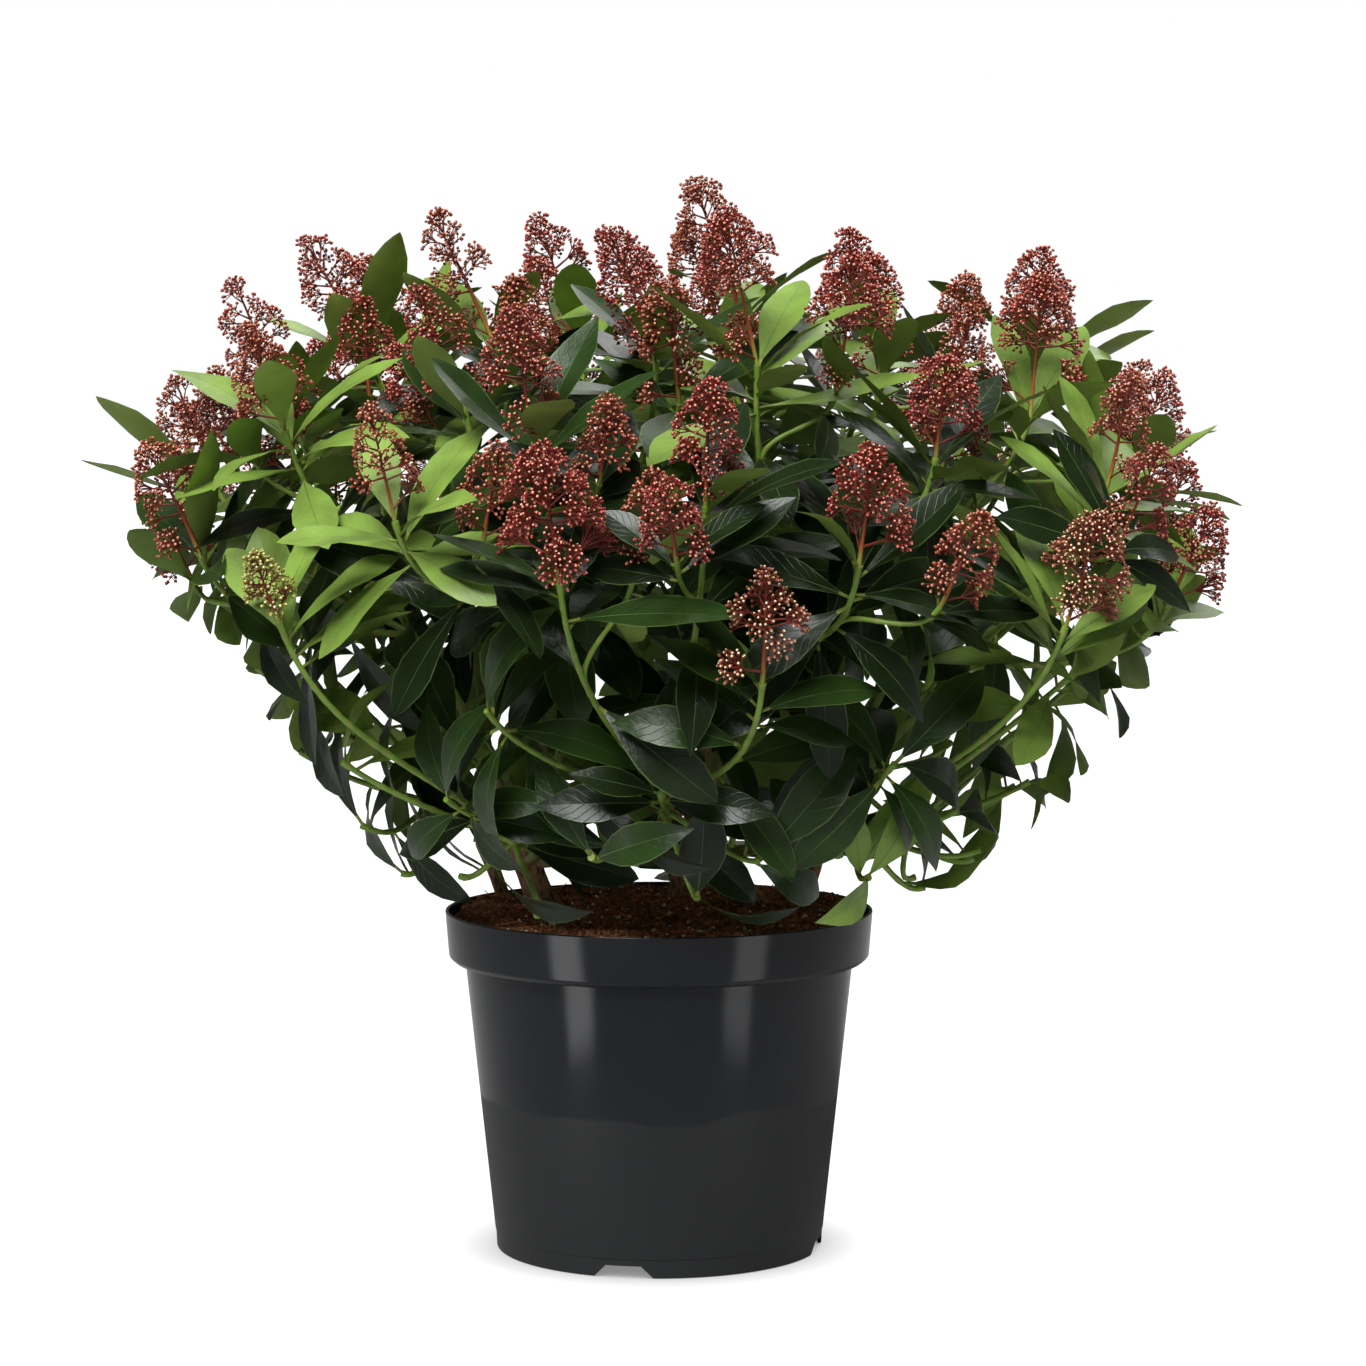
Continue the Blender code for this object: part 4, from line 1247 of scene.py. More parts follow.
class SKIMMIA_OT_boughs(bpy.types.Operator):
    """Makes the boughs from the woody stems to their nodes"""

    bl_idname = "skimmia.boughs"
    bl_label = "Boughs"

    def execute(self, context):
        points, faces, cracks, ages = [], [], [], []
        for order, bough in enumerate(grow_plan()["boughs"]):
            rough = bough_path(bough, 40)
            count = max(12, int(path_length(rough) / BOUGH_STEP))
            path, radii = [], []
            for step in range(count + 1):
                share = step / count
                path.append(place_on(rough, share))
                collar = 1.0 + 0.35 * max(0.0, 1.0 - share / 0.12) ** 2
                # A ring of leaf scars comes every 17 mm.
                along = share * count * BOUGH_STEP + order * 0.003
                ring = hump(along % 0.017, 0.0085, 0.0013)
                radii.append(between(*BOUGH_RADII, share) * collar * (1.0 + 0.10 * ring))
            if not bough["low"]:
                end, direction = path[-1]
                path.append((end + direction * NODE_STEM_LENGTH * 0.9, direction))
                radii.append(BOUGH_RADII[1] * 0.95)
            shape = bark_limb(path, radii, BOUGH_SIDES, 0.00028, 0.0030, order + 20, 0.1)
            start = len(points)
            points.extend(shape[0])
            faces.extend(tuple(start + corner for corner in face) for face in shape[1])
            cracks.extend(0.8 * crack for crack in shape[2])
            ages.extend(index // BOUGH_SIDES / len(path) for index in range(len(path) * BOUGH_SIDES))
            ages.extend((0.0, 1.0))
        finish = green_bark(context.scene.skimmia_wood)
        values = {"crevice": cracks, "age": ages}
        smooth_piece("green_boughs", points, faces, finish, nodes_named("bough_"), values)
        return {"FINISHED"}


# The plan of the plant: shoots, flower heads and leaves, worked out once.

PLAN = {}


def leaf_kind_spot(kind, share, offset=0.0):
    """A point on a leaf, one long: share runs along it, and offset to its side and up its fold."""
    arch, fold, sweep, twist = LEAF_KINDS[kind][:4]
    bend = math.radians(arch)
    angle = bend * share
    along, down = math.sin(angle) / bend, -(1.0 - math.cos(angle)) / bend
    roll = math.radians(twist) * share * share
    lift = abs(offset) * fold
    side = offset * math.cos(roll) - lift * math.sin(roll)
    up = offset * math.sin(roll) + lift * math.cos(roll)
    return Vector((sweep * share * share + side, along + up * math.sin(angle), down + up * math.cos(angle)))


def leaf_proxy(leaf):
    """Four plain faces that stand for a leaf while others are placed."""
    spots = ((0.10, 0.0), (0.34, -0.11), (0.34, 0.11), (0.64, -0.15), (0.64, 0.15), (1.0, 0.0))
    points = [
        leaf["root"] + leaf["frame"] @ (leaf_kind_spot(leaf["kind"], share, offset) * leaf["length"])
        for share, offset in spots
    ]
    return points, [(0, 2, 1), (1, 2, 4, 3), (3, 4, 5)]


def limb_tree(lines):
    """A search tree over limbs given as (path, radius), each a three-sided tube."""
    points, faces = [], []
    for path, radius in lines:
        faces.extend(tube_faces(len(path), 3, len(points)))
        for point, direction, side, other in framed(path):
            points.extend(point + (side * c + other * s) * radius for c, s in circle(3))
    return BVHTree.FromPolygons(points, faces)


def head_cone(head):
    """A plain cone, a little slimmer than a flower head."""
    heading = head["heading"]
    side, other = across(heading)
    base = head["base"] + heading * HEAD_STALK * 0.7
    length = (HEAD_LENGTH - HEAD_STALK) * head["size"]
    points = [base]
    for height, width in ((0.25, 1.0), (0.65, 0.72)):
        radius = HEAD_RADIUS * head["size"] * width * 0.86
        ring = [(side * c + other * s) * radius for c, s in circle(6)]
        points.extend(base + heading * length * height + spot for spot in ring)
    points.append(head["base"] + heading * (HEAD_STALK + length))
    return points, closed_faces(2, 6)


def clear_of_pot(points, lowest):
    """Whether a leaf stays over the compost and the rim, and over the lowest height that it may reach."""
    for point in points:
        over = 0.003 if point.xy.length < 0.147 else 0.010
        if point.z <= max(lowest, POT_HEIGHT + over):
            return False
    return True


class LeafGrower:
    """Grows leaves so that none crosses a limb, a flower head or another leaf."""

    def __init__(self, limbs, heads, chance, settings):
        self.limbs = limb_tree(limbs)
        self.chance = chance
        self.usual_length = settings.length
        self.cells = {}
        self.leaves = []
        for head in heads:
            points, faces = head_cone(head)
            self.keep(points, BVHTree.FromPolygons(points, faces))

    def cell(self, points):
        """The cell of space that the middle of some points lies in."""
        middle = sum(points, Vector()) / len(points)
        return tuple(math.floor(part / LEAF_CELL) for part in middle)

    def keep(self, points, tree):
        self.cells.setdefault(self.cell(points), []).append(tree)

    def is_free(self, points, tree):
        if tree.overlap(self.limbs):
            return False
        middle = self.cell(points)
        for step in itertools.product((-1, 0, 1), repeat=3):
            near = self.cells.get(tuple(part + move for part, move in zip(middle, step)), ())
            if any(tree.overlap(other) for other in near):
                return False
        return True

    def grow(self, path, shares, tilts, droop, size, kinds, group):
        """Leaves in a golden spiral at shares of a twig, from the top down. One with no room is left out."""
        chance = self.chance
        turn = chance.uniform(0, 2 * math.pi)
        for index, share in enumerate(shares):
            root, direction = place_on(path, share)
            side, other = across(direction)
            # Few leaves hang to the compost, so the stems are seen under the rest.
            lowest = POT_HEIGHT if chance.random() < LOW_LEAF_CHANCE else LOWEST_LEAF
            tilt = tilts[0] + (tilts[1] - tilts[0]) * index / max(1, len(shares) - 1)
            for attempt in range(LEAF_TRIES):
                angle = turn + GOLDEN_ANGLE * index + chance.uniform(-1, 1) * (0.12 + 0.11 * attempt)
                lean = math.radians(tilt + chance.uniform(-1, 1) * (6 + 1.6 * attempt))
                length = self.usual_length * size * chance.uniform(0.82, 1.08) * (1.0 - 0.014 * attempt)
                out = outwards(side, other, angle)
                along = direction * math.cos(lean) + out * math.sin(lean)
                facing = direction * math.sin(lean) - out * math.cos(lean)
                along = (along - UP * droop * max(0.0, 1.0 - abs(along.z))).normalized()
                beside = along.cross(facing).normalized()
                facing = beside.cross(along).normalized()
                leaf = {
                    "root": root,
                    "frame": Matrix((beside, along, facing)).transposed(),
                    "length": length,
                    "kind": chance.choice(kinds),
                    "group": group,
                }
                points, faces = leaf_proxy(leaf)
                if not inside_outline(points[3:]) or not clear_of_pot(points[1:], lowest):
                    continue
                tree = BVHTree.FromPolygons(points, faces)
                if self.is_free(points, tree):
                    self.keep(points, tree)
                    self.leaves.append(leaf)
                    break


def down_from_tip(path, count, first=0.0015, step=0.0036):
    """Shares of a path at even steps down from its tip."""
    length = path_length(path)
    return [1.0 - (first + step * index) / length for index in range(count)]


def flower_head(shoot, size, late):
    """A flower head on a shoot. It leans a little to the left near the top of the crown."""
    share = clamp((shoot["whorl"].z - LEAN_START) / LEAN_RUN)
    heading = (shoot["heading"] - Vector((LEAN * share, 0.0, 0.0))).normalized()
    return {"base": shoot["whorl"], "heading": heading, "size": size, "late": late}


def fork_shoots(boughs, chance):
    """Some flowering shoots fork below their whorl and carry a second, smaller head where there is room."""
    whorls = [shoot["whorl"] for bough in boughs for shoot in bough["shoots"]]
    for bough in boughs:
        bough["forks"] = []
        for shoot in bough["shoots"]:
            if not shoot["flowering"] or shoot["late"] or chance.random() > FORK_CHANCE:
                continue
            side, other = across(shoot["heading"])
            best = None
            for c, s in circle(16):
                out = side * c + other * s
                spot = shoot["whorl"] + out * 0.050 - shoot["heading"] * chance.uniform(0.004, 0.020)
                heading = (shoot["heading"] * 0.9 + out * 0.30).normalized()
                room = min((spot - whorl).length for whorl in whorls)
                fits = inside_outline([spot + heading * 0.066])
                if fits and room > 0.040 and (best is None or room > best[0]):
                    best = (room, spot, heading)
            if best:
                whorls.append(best[1])
                size = chance.uniform(0.72, 0.9)
                bough["forks"].append({"from": shoot, "whorl": best[1], "heading": best[2], "size": size})


def grow_limbs(boughs):
    """The paths of shoots and forks, the flower heads, and every limb that leaves keep clear of."""
    lines, heads, limbs = [], [], []
    for name, stem in STEMS.items():
        top = stem["fork"][2]
        limbs.append(([(stem_centre(name, top * step / 5), UP) for step in range(6)], stem["radii"][0]))
    for bough in boughs:
        limbs.append((bough_path(bough, 10), BOUGH_RADII[0]))
        end, arrive = bough_path(bough, 4)[-1]
        node = end + arrive * (NODE_STEM_LENGTH + GAP)
        bough["node_path"] = [(end, arrive), (node, arrive)]
        for shoot in bough["shoots"]:
            shoot["path"] = shoot_path(node, arrive, shoot, 16)
            lines.append((shoot["path"], SHOOT_RADII))
            limbs.append((shoot["path"][3:-1], SHOOT_RADII[1]))
            if shoot["flowering"]:
                small = LATE_GREEN_SIZE if shoot["late"] == LATE_SHOOTS[1] else 1.0
                heads.append(flower_head(shoot, shoot["size"] * small, shoot["late"]))
        for fork in bough["forks"]:
            start, leave = place_on(fork["from"]["path"], 0.66)
            run = (fork["whorl"] - start).length
            start_pull = start + (leave + fork["heading"] * 0.2) * run * 0.35
            end_pull = fork["whorl"] - fork["heading"] * run * 0.4
            fork["path"] = bezier(start, start_pull, end_pull, fork["whorl"], 10)
            lines.append((fork["path"], FORK_RADII))
            limbs.append((fork["path"][2:-1], FORK_RADII[1]))
            heads.append(flower_head(fork, fork["size"], 0))
    return lines, heads, limbs


def grow_whorls(bough, grower, settings):
    """The leaves under the tips of a bough's shoots and forks. Their number and look go by place."""
    chance = grower.chance
    for shoot in bough["shoots"]:
        path = shoot["path"]
        if bough["low"]:
            shares = down_from_tip(path, settings.low, 0.0, 0.0045)
            grower.grow(path, shares, (60, 100), 1.2, 0.84, (3, 4, 5, 7), "dark")
            continue
        x, z = shoot["whorl"].x, shoot["whorl"].z
        roll = chance.random()
        # Low down nearly all leaves are of the dark group, partly painted shade under the crown. On the outer
        # sides and the top many are of the fresh group, partly painted light where light falls. The fresh
        # colour is the real colour of young leaves.
        if z < HANGING_HEIGHT:
            bright, droop, kinds = 0.06, 0.9, (3, 5, 5)
            count = settings.whorl - (6 if abs(x) > OUTER_REACH else 2)
        else:
            bright = 0.70 if x < BRIGHT_LEFT or x > BRIGHT_RIGHT or z > TOP_HEIGHT else 0.10
            droop = 0.08 if shoot["flowering"] else 0.24
            kinds = (0, 1, 2, 2, 3, 6, 7) if shoot["flowering"] else (1, 2, 3, 4, 6, 7)
            count = settings.whorl
        group = "fresh" if roll < bright else "middle" if roll < bright + 0.30 else "dark"
        tilts = (34, 92) if shoot["flowering"] else (28, 98)
        grower.grow(path, down_from_tip(path, count), tilts, droop, shoot["size"], kinds, group)
    for fork in bough["forks"]:
        shares = down_from_tip(fork["path"], 5)
        group = "dark" if chance.random() < 0.6 else "middle"
        grower.grow(fork["path"], shares, (52, 92), 0.1, fork["size"] * 1.08, (1, 2, 3, 6), group)


def grow_tiers(bough, grower, settings):
    """The older leaves down a bough's shoots, and the ones at its node. They are few low down and outside."""
    for shoot in bough["shoots"]:
        low = shoot["whorl"].z <= SPARSE_HEIGHT
        outer = abs(shoot["whorl"].x) > OUTER_REACH
        tier = settings.tier if not low else 1 if outer else 4
        shares = [0.70 - 0.40 * (index / max(1, tier - 1)) for index in range(tier)]
        roll = grower.chance.random()
        group = "dark" if roll < 0.72 else "middle" if roll < 0.93 else "fresh"
        grower.grow(shoot["path"], shares, (62, 104), 0.8 if low else 0.26, 1.0, (2, 3, 4, 5, 7), group)
    node = bough["node"]
    count = settings.node if node.z > HANGING_HEIGHT else 1 if abs(node.x) > OUTER_NODE_REACH else 4
    shares = [1.0 - index / count for index in range(count)]
    grower.grow(bough["node_path"], shares, (66, 100), 0.25, 1.0, (2, 3, 4, 5), "dark")


def grow_plan():
    """Everything that grows on the boughs, worked out once: paths of shoots, flower heads and leaves."""
    if PLAN:
        return PLAN
    settings = bpy.context.scene.skimmia_leaf
    chance = random.Random(SKELETON_SEED + 5)
    boughs = grow_skeleton()
    fork_shoots(boughs, chance)
    lines, heads, limbs = grow_limbs(boughs)
    grower = LeafGrower(limbs, heads, chance, settings)
    for bough in boughs:
        grow_whorls(bough, grower, settings)
    for bough in boughs:
        if not bough["low"]:
            grow_tiers(bough, grower, settings)
    print(len(grower.leaves), "leaves,", len(heads), "flower heads")
    PLAN.update({"boughs": boughs, "lines": lines, "heads": heads, "leaves": grower.leaves})
    return PLAN


class SKIMMIA_OT_shoots(bpy.types.Operator):
    """Makes the green shoots, with the bumps and scars of fallen leaves"""

    bl_idname = "skimmia.shoots"
    bl_label = "Shoots"

    def execute(self, context):
        lines = []
        for order, (path, radii) in enumerate(grow_plan()["lines"]):
            length = path_length(path)
            count = max(8, int(length / 0.0034))
            points, thickness, scars = [], [], []
            for step in range(count + 1):
                share = step / count
                points.append(place_on(path, share)[0])
                # A scar comes every 11.5 mm, and the tip is a little swollen.
                bump = hump((share * length + order * 0.0037) % 0.0115, 0.005, 0.0016)
                tip = 1.0 + 0.30 * max(0.0, 1.0 - (1.0 - share) * length / 0.012)
                thickness.append(SHOOT_SLIMMING * between(*radii, share) * tip * (1.0 + 0.16 * bump))
                scars.append(0.75 * bump * max(0.0, 1.0 - share * 0.5))
            lines.append((points, thickness, scars))
        finish = smooth_shoot_skin(context.scene.skimmia_wood)
        make_tubes("green_shoots", lines, "scar", 7, True, finish)
        return {"FINISHED"}


# The leaves.


def leaf_kind(kind, collection):
    """One closed leaf, one long and with a wavy margin: upper side 0, midrib 1, underside 2 and petiole 3."""
    points, faces, surfaces, places = [], [], [], []
    arch, *_, blunt = LEAF_KINDS[kind]
    for share, pointed, full in LEAF_OUTLINE:
        half = between(pointed, full, blunt)
        thin = min(LEAF_RIB * (1.15 - share), half * 0.4)
        ripple = 0.012 * min(1.0, half * 7)
        left, right = math.sin(11.0 * share + kind * 1.7), math.sin(9.0 * share + kind * 2.9 + 1.0)
        row = (
            (-half, left * ripple), (-thin, 0.0), (thin, 0.0), (half, right * ripple),
            (0.0, -LEAF_THICK if half > 0.02 else -0.016),
        )
        angle = math.radians(arch) * share
        up = Vector((0.0, math.sin(angle), math.cos(angle)))
        for offset, rise in row:
            points.append(leaf_kind_spot(kind, share, offset) + up * rise)
            places.append((0.5 + offset / half * 0.5, share))
    points.append(leaf_kind_spot(kind, 1.0))
    places.append((0.5, 1.0))
    tip = len(points) - 1
    last = tip - 5
    margin = {frozenset((last, tip)), frozenset((last + 3, tip))}
    for low in range(0, last, 5):
        high = low + 5
        strips = (
            (0, (low, low + 1, high + 1), (low, high + 1, high)),
            (1, (low + 1, low + 2, high + 2, high + 1)),
            (0, (low + 3, high + 3, high + 2), (low + 3, high + 2, low + 2)),
            (2, (low, high + 4, low + 4), (low, high, high + 4)),
            (2, (low + 3, low + 4, high + 4), (low + 3, high + 4, high + 3)),
        )
        for surface, *strip in strips:
            faces.extend(strip)
            surfaces.extend([3 if low == 0 else surface] * len(strip))
        margin.update((frozenset((low, high)), frozenset((low + 3, high + 3))))
    for surface, first, second in ((0, 0, 1), (1, 1, 2), (0, 2, 3), (2, 3, 4), (2, 4, 0)):
        faces.append((last + first, last + second, tip))
        surfaces.append(surface)
    faces.append((0, 4, 3, 2, 1))
    surfaces.append(3)
    mesh = mesh_object(f"leaf_{kind}", points, faces, collection=collection).data
    store(mesh, "surface", surfaces, "INT", "FACE")
    store(mesh, "sharp_edge", [frozenset(edge.vertices) in margin for edge in mesh.edges], "BOOLEAN", "EDGE")
    layer = mesh.uv_layers.new(name="UVMap")
    for loop in mesh.loops:
        layer.data[loop.index].uv = places[loop.vertex_index]


class SKIMMIA_OT_leaves(bpy.types.Operator):
    """Makes the leaves, in groups by how dark they are"""

    bl_idname = "skimmia.leaves"
    bl_label = "Leaves"

    def execute(self, context):
        settings = context.scene.skimmia_leaf
        kinds = bpy.data.collections.new("leaf_kinds")
        for kind in range(len(LEAF_KINDS)):
            leaf_kind(kind, kinds)
        dull = leaf_underside("dull_leaf_underside", settings.under_dull)
        bright = leaf_underside("bright_leaf_underside", settings.under_fresh)
        rib = tinted("leaf_midrib", settings.rib, 0.02, 0.5)
        petiole = tinted("leaf_petiole", settings.petiole, 0.01, 0.5)
        looks = (("dark", 0.29, dull), ("middle", 0.32, bright), ("fresh", 0.42, bright))
        for group, roughness, under in looks:
            upper = waxy_leaf("waxy_leaf_" + group, getattr(settings, group), settings.margin, roughness)
            spots = [
                (leaf["root"], leaf["kind"], leaf["length"], leaf["frame"].to_euler())
                for leaf in grow_plan()["leaves"]
                if leaf["group"] == group
            ]
            make_spread(f"leaves_{group}", kinds, spots, (upper, rib, under, petiole))
        drop_collection(kinds)
        return {"FINISHED"}


# The flower heads.


def stalk_line(points, thickness, foot=None):
    """A stalk for make_tubes. The colour of its foot shows as far as foot says at each point."""
    return points, thickness, foot or [0.0] * len(points)


class HeadGrower:
    """Grows flower heads: their stalks, the fine stalks of the buds, and the buds."""

    def __init__(self, chance, settings):
        self.chance = chance
        self.settings = settings
        self.stalks = []
        self.pedicels = []

    def steer(self, direction, side, other, angle, lean):
        """A direction that leans from another by an angle, to a place round it."""
        return direction * math.cos(lean) + outwards(side, other, angle) * math.sin(lean)

    def cluster(self, start, direction, run, fan, buds):
        """One branch of a head: its stalk forks half-way along its run into a rounded cluster of buds."""
        chance = self.chance
        side, other = across(direction)
        sag = side * chance.uniform(-0.10, 0.10) + other * chance.uniform(-0.10, 0.10)
        fork = start + (direction + sag) * run * 0.50
        reach = max(run * 0.50, 0.0064)
        thick = 0.00048 + run * 0.012
        points = [start, start.lerp(fork, 0.5) - sag * run * 0.05, fork]
        self.stalks.append(stalk_line(points, [thick, thick * 0.9, thick * 0.75]))
        cap = (1.0 - math.cos(fan)) * 2 * math.pi * reach * reach
        count = max(4, int(cap / self.settings.room**2))
        turn = chance.uniform(0, 2 * math.pi)
        groups = max(1, round(count / 4))
        leads = []
        for index in range(groups):
            lean = math.acos(1.0 - (1.0 - math.cos(fan * 0.80)) * (index + 0.45) / groups)
            lead = self.steer(direction, side, other, turn + GOLDEN_ANGLE * index, lean)
            leads.append((lead, fork + lead * reach * 0.55))
            self.stalks.append(stalk_line([fork, leads[-1][1]], [thick * 0.65, 0.00036]))
        for index in range(count):
            lean = math.acos(1.0 - (1.0 - math.cos(fan)) * (index + 0.5) / count)
            angle = turn + GOLDEN_ANGLE * index + chance.uniform(-0.25, 0.25)
            heading = self.steer(direction, side, other, angle, lean)
            place = fork + heading * reach * chance.uniform(0.80, 1.10)
            lead = max(leads, key=lambda entry: entry[0].dot(heading))[1]
            radius = self.settings.bud / 2 * chance.uniform(0.80, 1.14)
            lean_out = (place - lead).normalized()
            self.pedicels.append(stalk_line([lead, place], [0.00034, 0.00030]))
            turned = lean_out.to_track_quat("Z", "Y").to_euler()
            buds.append((place + lean_out * radius * 0.6, 0, radius, turned))

    def head(self, head, buds):
        """A flower head: a dome of branches in a golden spiral, and one to three long branches below it."""
        chance = self.chance
        base, heading, size = head["base"], head["heading"], head["size"]
        high = base.z > TOP_HEIGHT
        stretch = TOP_HEAD_STRETCH if high else 1.0
        length = self.settings.length * size * chance.uniform(0.90, 1.10) * stretch
        widest = self.settings.radius * size * chance.uniform(0.84, 1.12)
        side, other = across(heading)
        sway = side * chance.uniform(-0.10, 0.10) + other * chance.uniform(-0.10, 0.10)
        start = base + heading * HEAD_STALK * chance.uniform(0.25, 0.55)
        shares = [step / 8 for step in range(9)]
        reach = HEAD_STALK * 0.4 + length * 0.80
        axis = [base + (heading + sway * share) * reach * share for share in shares]
        thickness = [0.00165 - 0.0011 * share for share in shares]
        self.stalks.append(stalk_line(axis, thickness, [max(0.0, 1.0 - share * 1.9) for share in shares]))
        turn = chance.uniform(0, 2 * math.pi)
        for index in range(chance.choice((1, 2, 2, 3))):
            angle = turn + 2.3 * index + chance.uniform(-0.3, 0.3)
            spread = math.radians(chance.uniform(50, 68))
            direction = self.steer(heading, side, other, angle, spread).normalized()
            run = widest * chance.uniform(1.05, 1.30)
            self.cluster(start + heading * 0.004 * index, direction, run, math.radians(48), buds)
        gap = chance.uniform(0.20, 0.34) + (0.12 if high else 0.0)
        loose = chance.uniform(0.0, 0.12)
        for index in range(HEAD_BRANCHES):
            share = index / (HEAD_BRANCHES - 1)
            if chance.random() < loose:
                continue
            along = between(gap, 0.80, share)
            spot = start + (heading + sway * along) * length * along
            angle = turn + GOLDEN_ANGLE * index + chance.uniform(-0.25, 0.25)
            spread = math.radians(82 - 66 * share**1.3 + chance.uniform(-6, 6))
            direction = self.steer(heading, side, other, angle, spread).normalized()
            run = widest * (1.0 - 0.52 * share**1.7) * chance.uniform(0.80, 1.10)
            self.cluster(spot, direction, run, math.radians(42 + 14 * share), buds)


def bud_kind(collection):
    """A round bud of fifteen faces, one in radius, with its tip as a surface of its own. The tip's pale
    colour is partly the bud's own paler tip and partly a painted highlight.
    """
    points = [Vector((0.0, 0.0, -1.0))]
    for height, width, turn in ((-0.30, 0.98, 0.0), (0.68, 0.60, 0.5)):
        points.extend(Vector((c * width, s * width, height)) for c, s in circle(5, turn))
    points.append(Vector((0.0, 0.0, 1.0)))
    made = mesh_object("bud_0", points, closed_faces(2, 5), collection=collection)
    store(made.data, "surface", (0, 0, 1) * 5, "INT", "FACE")


def bud_group(head, chance):
    """The tint of a head's buds: late heads are green or pale, and the rest are one of three reds."""
    if head["late"]:
        return "green" if head["late"] == LATE_SHOOTS[1] else "pale"
    return chance.choice(("crimson", "rose", "russet"))


class SKIMMIA_OT_flowers(bpy.types.Operator):
    """Makes the flower heads: stalks and buds, in groups by colour"""

    bl_idname = "skimmia.flowers"
    bl_label = "Flower heads"

    def execute(self, context):
        settings = context.scene.skimmia_flower
        grower = HeadGrower(random.Random(SKELETON_SEED + 9), settings)
        groups = {}
        for head in grow_plan()["heads"]:
            grower.head(head, groups.setdefault(bud_group(head, grower.chance), []))
        skin = flower_stalk_skin(settings)
        make_tubes("flower_stalks", grower.stalks, "foot", 4, False, skin)
        make_tubes("bud_stalks", grower.pedicels, "foot", 3, False, skin)
        kinds = bpy.data.collections.new("bud_kinds")
        bud_kind(kinds)
        # The tips' pale colours are partly the buds' own paler tips and partly a painted highlight.
        tips_and_highlights = {"pale": settings.pale_tip_and_highlight, "green": settings.green_tip_and_highlight}
        for group, buds in sorted(groups.items()):
            body = tinted(group + "_bud", getattr(settings, group), 0.004, 0.36)
            tip = tinted(group + "_bud_tip", tips_and_highlights.get(group, settings.tip), 0.004, 0.42)
            make_spread(f"buds_{group}", kinds, buds, (body, tip))
        drop_collection(kinds)
        return {"FINISHED"}


# The stage.


def place_light(name, kind, place, way, power):
    """A light of a kind at a place, shining one way."""
    data = bpy.data.lights.new(name, kind)
    data.energy = power
    made = bpy.data.objects.new(name, data)
    made.location = place
    made.rotation_euler = Vector(way).to_track_quat("-Z", "Y").to_euler()
    bpy.context.scene.collection.objects.link(made)
    return made


def studio_floor(settings):
    """Matt white paper, as bright to the camera as the background. A soft shadow lies close to the foot."""
    made = Finish("matt_studio_paper", 0.85, 0.1)
    made.drive("Base Color", made.wander(0.4, shaded(settings.floor, 0.985), settings.floor, 1.0))
    near = made.add("AmbientOcclusion", {"Distance": 0.045}, "AO", samples=12)
    bright = made.span(near, 0.0, 1.0, 0.25, 1.3)
    glow = made.add("Emission", {"Color": (1.0, 1.0, 1.0, 1.0), "Strength": bright})
    share = made.math("MULTIPLY", made.add("LightPath", output="Is Camera Ray"), settings.glow)
    both = made.add("MixShader", {0: share, 1: made.shader.outputs["BSDF"], 2: glow})
    made.tree.links.new(both, made.tree.nodes["Material Output"].inputs["Surface"])
    return made.material


def studio_world(settings):
    """A white background for the camera, and a dimmer even light from all sides for the plant."""
    world = bpy.data.worlds.new("studio")
    world.use_nodes = True
    tree = world.node_tree
    even = tree.nodes["Background"]
    even.inputs["Color"].default_value = (1.0, 1.0, 1.0, 1.0)
    even.inputs["Strength"].default_value = settings.even_light
    white = add_node(tree, "ShaderNodeBackground", {"Color": (1.0, 1.0, 1.0, 1.0), "Strength": 1.0})
    seen = add_node(tree, "ShaderNodeLightPath", output="Is Camera Ray")
    both = add_node(tree, "ShaderNodeMixShader", {0: seen, 1: even.outputs["Background"], 2: white})
    tree.links.new(both, tree.nodes["World Output"].inputs["Surface"])
    return world


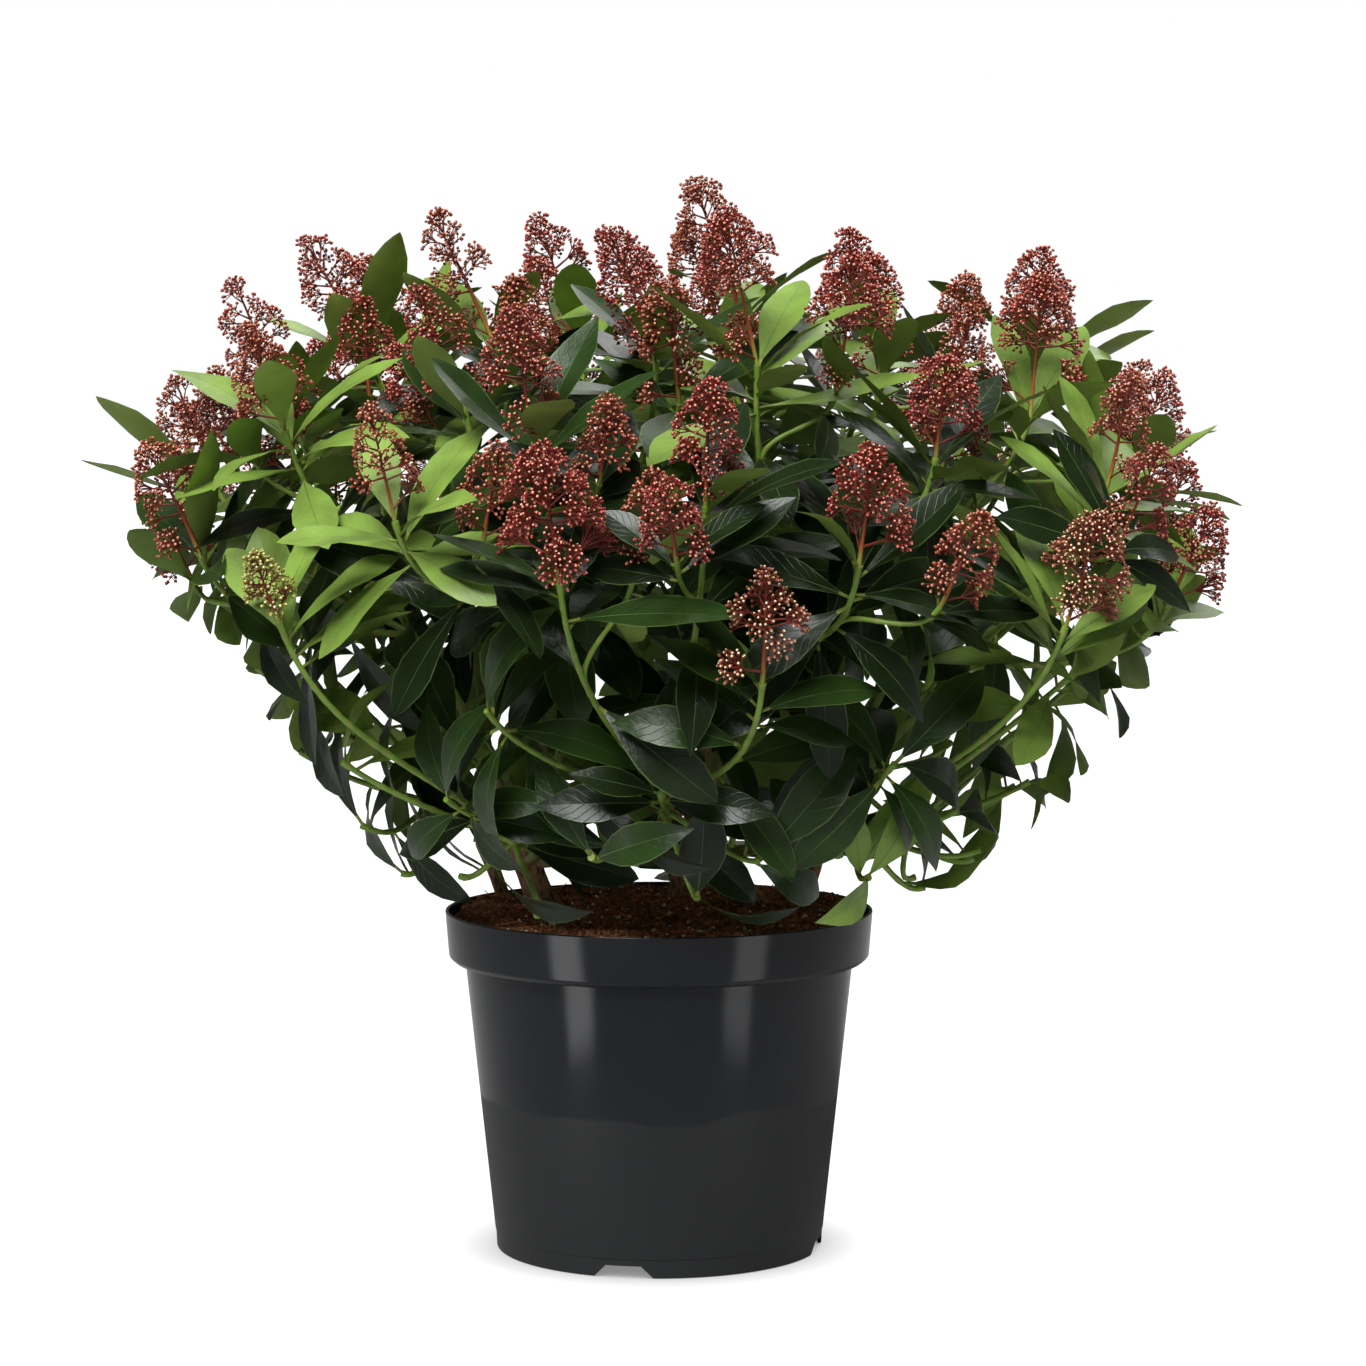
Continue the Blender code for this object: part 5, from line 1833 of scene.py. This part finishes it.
class SKIMMIA_OT_stage(bpy.types.Operator):
    """Sets the plain pale floor, the soft studio light and the camera"""

    bl_idname = "skimmia.stage"
    bl_label = "Stage, light and camera"

    def execute(self, context):
        settings = context.scene.skimmia_stage
        scene = context.scene
        depth = -0.0002
        points = [Vector((0.0, 0.0, depth))]
        points.extend(Vector((c * FLOOR_RADIUS, s * FLOOR_RADIUS, depth)) for c, s in circle(64))
        floor = mesh_object("studio_floor", points, [(0, 1 + k, 1 + (k + 1) % 64) for k in range(64)])
        floor.data.materials.append(studio_floor(settings))
        scene.world = studio_world(settings)
        suns = (("soft_top_light", (0.26, 0.80, -1.0), 1.0), ("soft_back_light", (-0.30, -0.90, -0.80), 0.18))
        for name, way, share in suns:
            sun = place_light(name, "SUN", (0.0, 0.0, 0.0), way, settings.key_power * share)
            sun.data.angle = math.radians(38.0)
        # Two low strips draw the bright lines on the pot, and the camera doesn't see them.
        for name, side, share in (("left_strip", -1.0, 1.0), ("right_strip", 1.0, 0.5)):
            place = Vector((side * 0.25, -0.28, 0.11))
            target = Vector((side * 0.047, -0.105, 0.11))
            strip = place_light(name, "AREA", place, target - place, settings.strip_power * share)
            strip.data.shape = "RECTANGLE"
            strip.data.size, strip.data.size_y = 0.095, 0.20
            strip.visible_camera = False
        data = bpy.data.cameras.new("camera")
        data.sensor_width = 36.0
        data.lens = CAMERA_LENS
        data.clip_end = 100.0
        camera = bpy.data.objects.new("camera", data)
        camera.location = CAMERA_PLACE
        camera.rotation_euler = (math.pi / 2 - CAMERA_DIP, 0.0, 0.0)
        scene.collection.objects.link(camera)
        scene.camera = camera
        scene.view_settings.view_transform = "Standard"
        scene.view_settings.look = "None"
        return {"FINISHED"}


OPERATORS = (
    SKIMMIA_OT_pot, SKIMMIA_OT_compost, SKIMMIA_OT_litter, SKIMMIA_OT_stems, SKIMMIA_OT_boughs,
    SKIMMIA_OT_shoots, SKIMMIA_OT_leaves, SKIMMIA_OT_flowers, SKIMMIA_OT_stage,
)


class SKIMMIA_PT_parts(bpy.types.Panel):
    """Lists the plant's pieces and their settings"""

    bl_label = "Potted skimmia"
    bl_space_type = "VIEW_3D"
    bl_region_type = "UI"
    bl_category = "Skimmia"

    def draw(self, context):
        for operator in OPERATORS:
            self.layout.operator(operator.bl_idname)
        for place in SETTINGS:
            box = self.layout.box()
            settings = getattr(context.scene, place)
            for key in settings.__annotations__:
                box.prop(settings, key)


CLASSES = (*SETTINGS.values(), *OPERATORS, SKIMMIA_PT_parts)


def register():
    for kind in CLASSES:
        bpy.utils.register_class(kind)
    for place, kind in SETTINGS.items():
        setattr(bpy.types.Scene, place, PointerProperty(type=kind))


def unregister():
    for place in SETTINGS:
        delattr(bpy.types.Scene, place)
    for kind in reversed(CLASSES):
        bpy.utils.unregister_class(kind)


def main():
    register()
    bpy.ops.skimmia.pot()
    bpy.ops.skimmia.compost()
    bpy.ops.skimmia.litter()
    bpy.ops.skimmia.stems()
    bpy.ops.skimmia.boughs()
    bpy.ops.skimmia.shoots()
    bpy.ops.skimmia.leaves()
    bpy.ops.skimmia.flowers()
    bpy.ops.skimmia.stage()


if __name__ == "__main__":
    main()
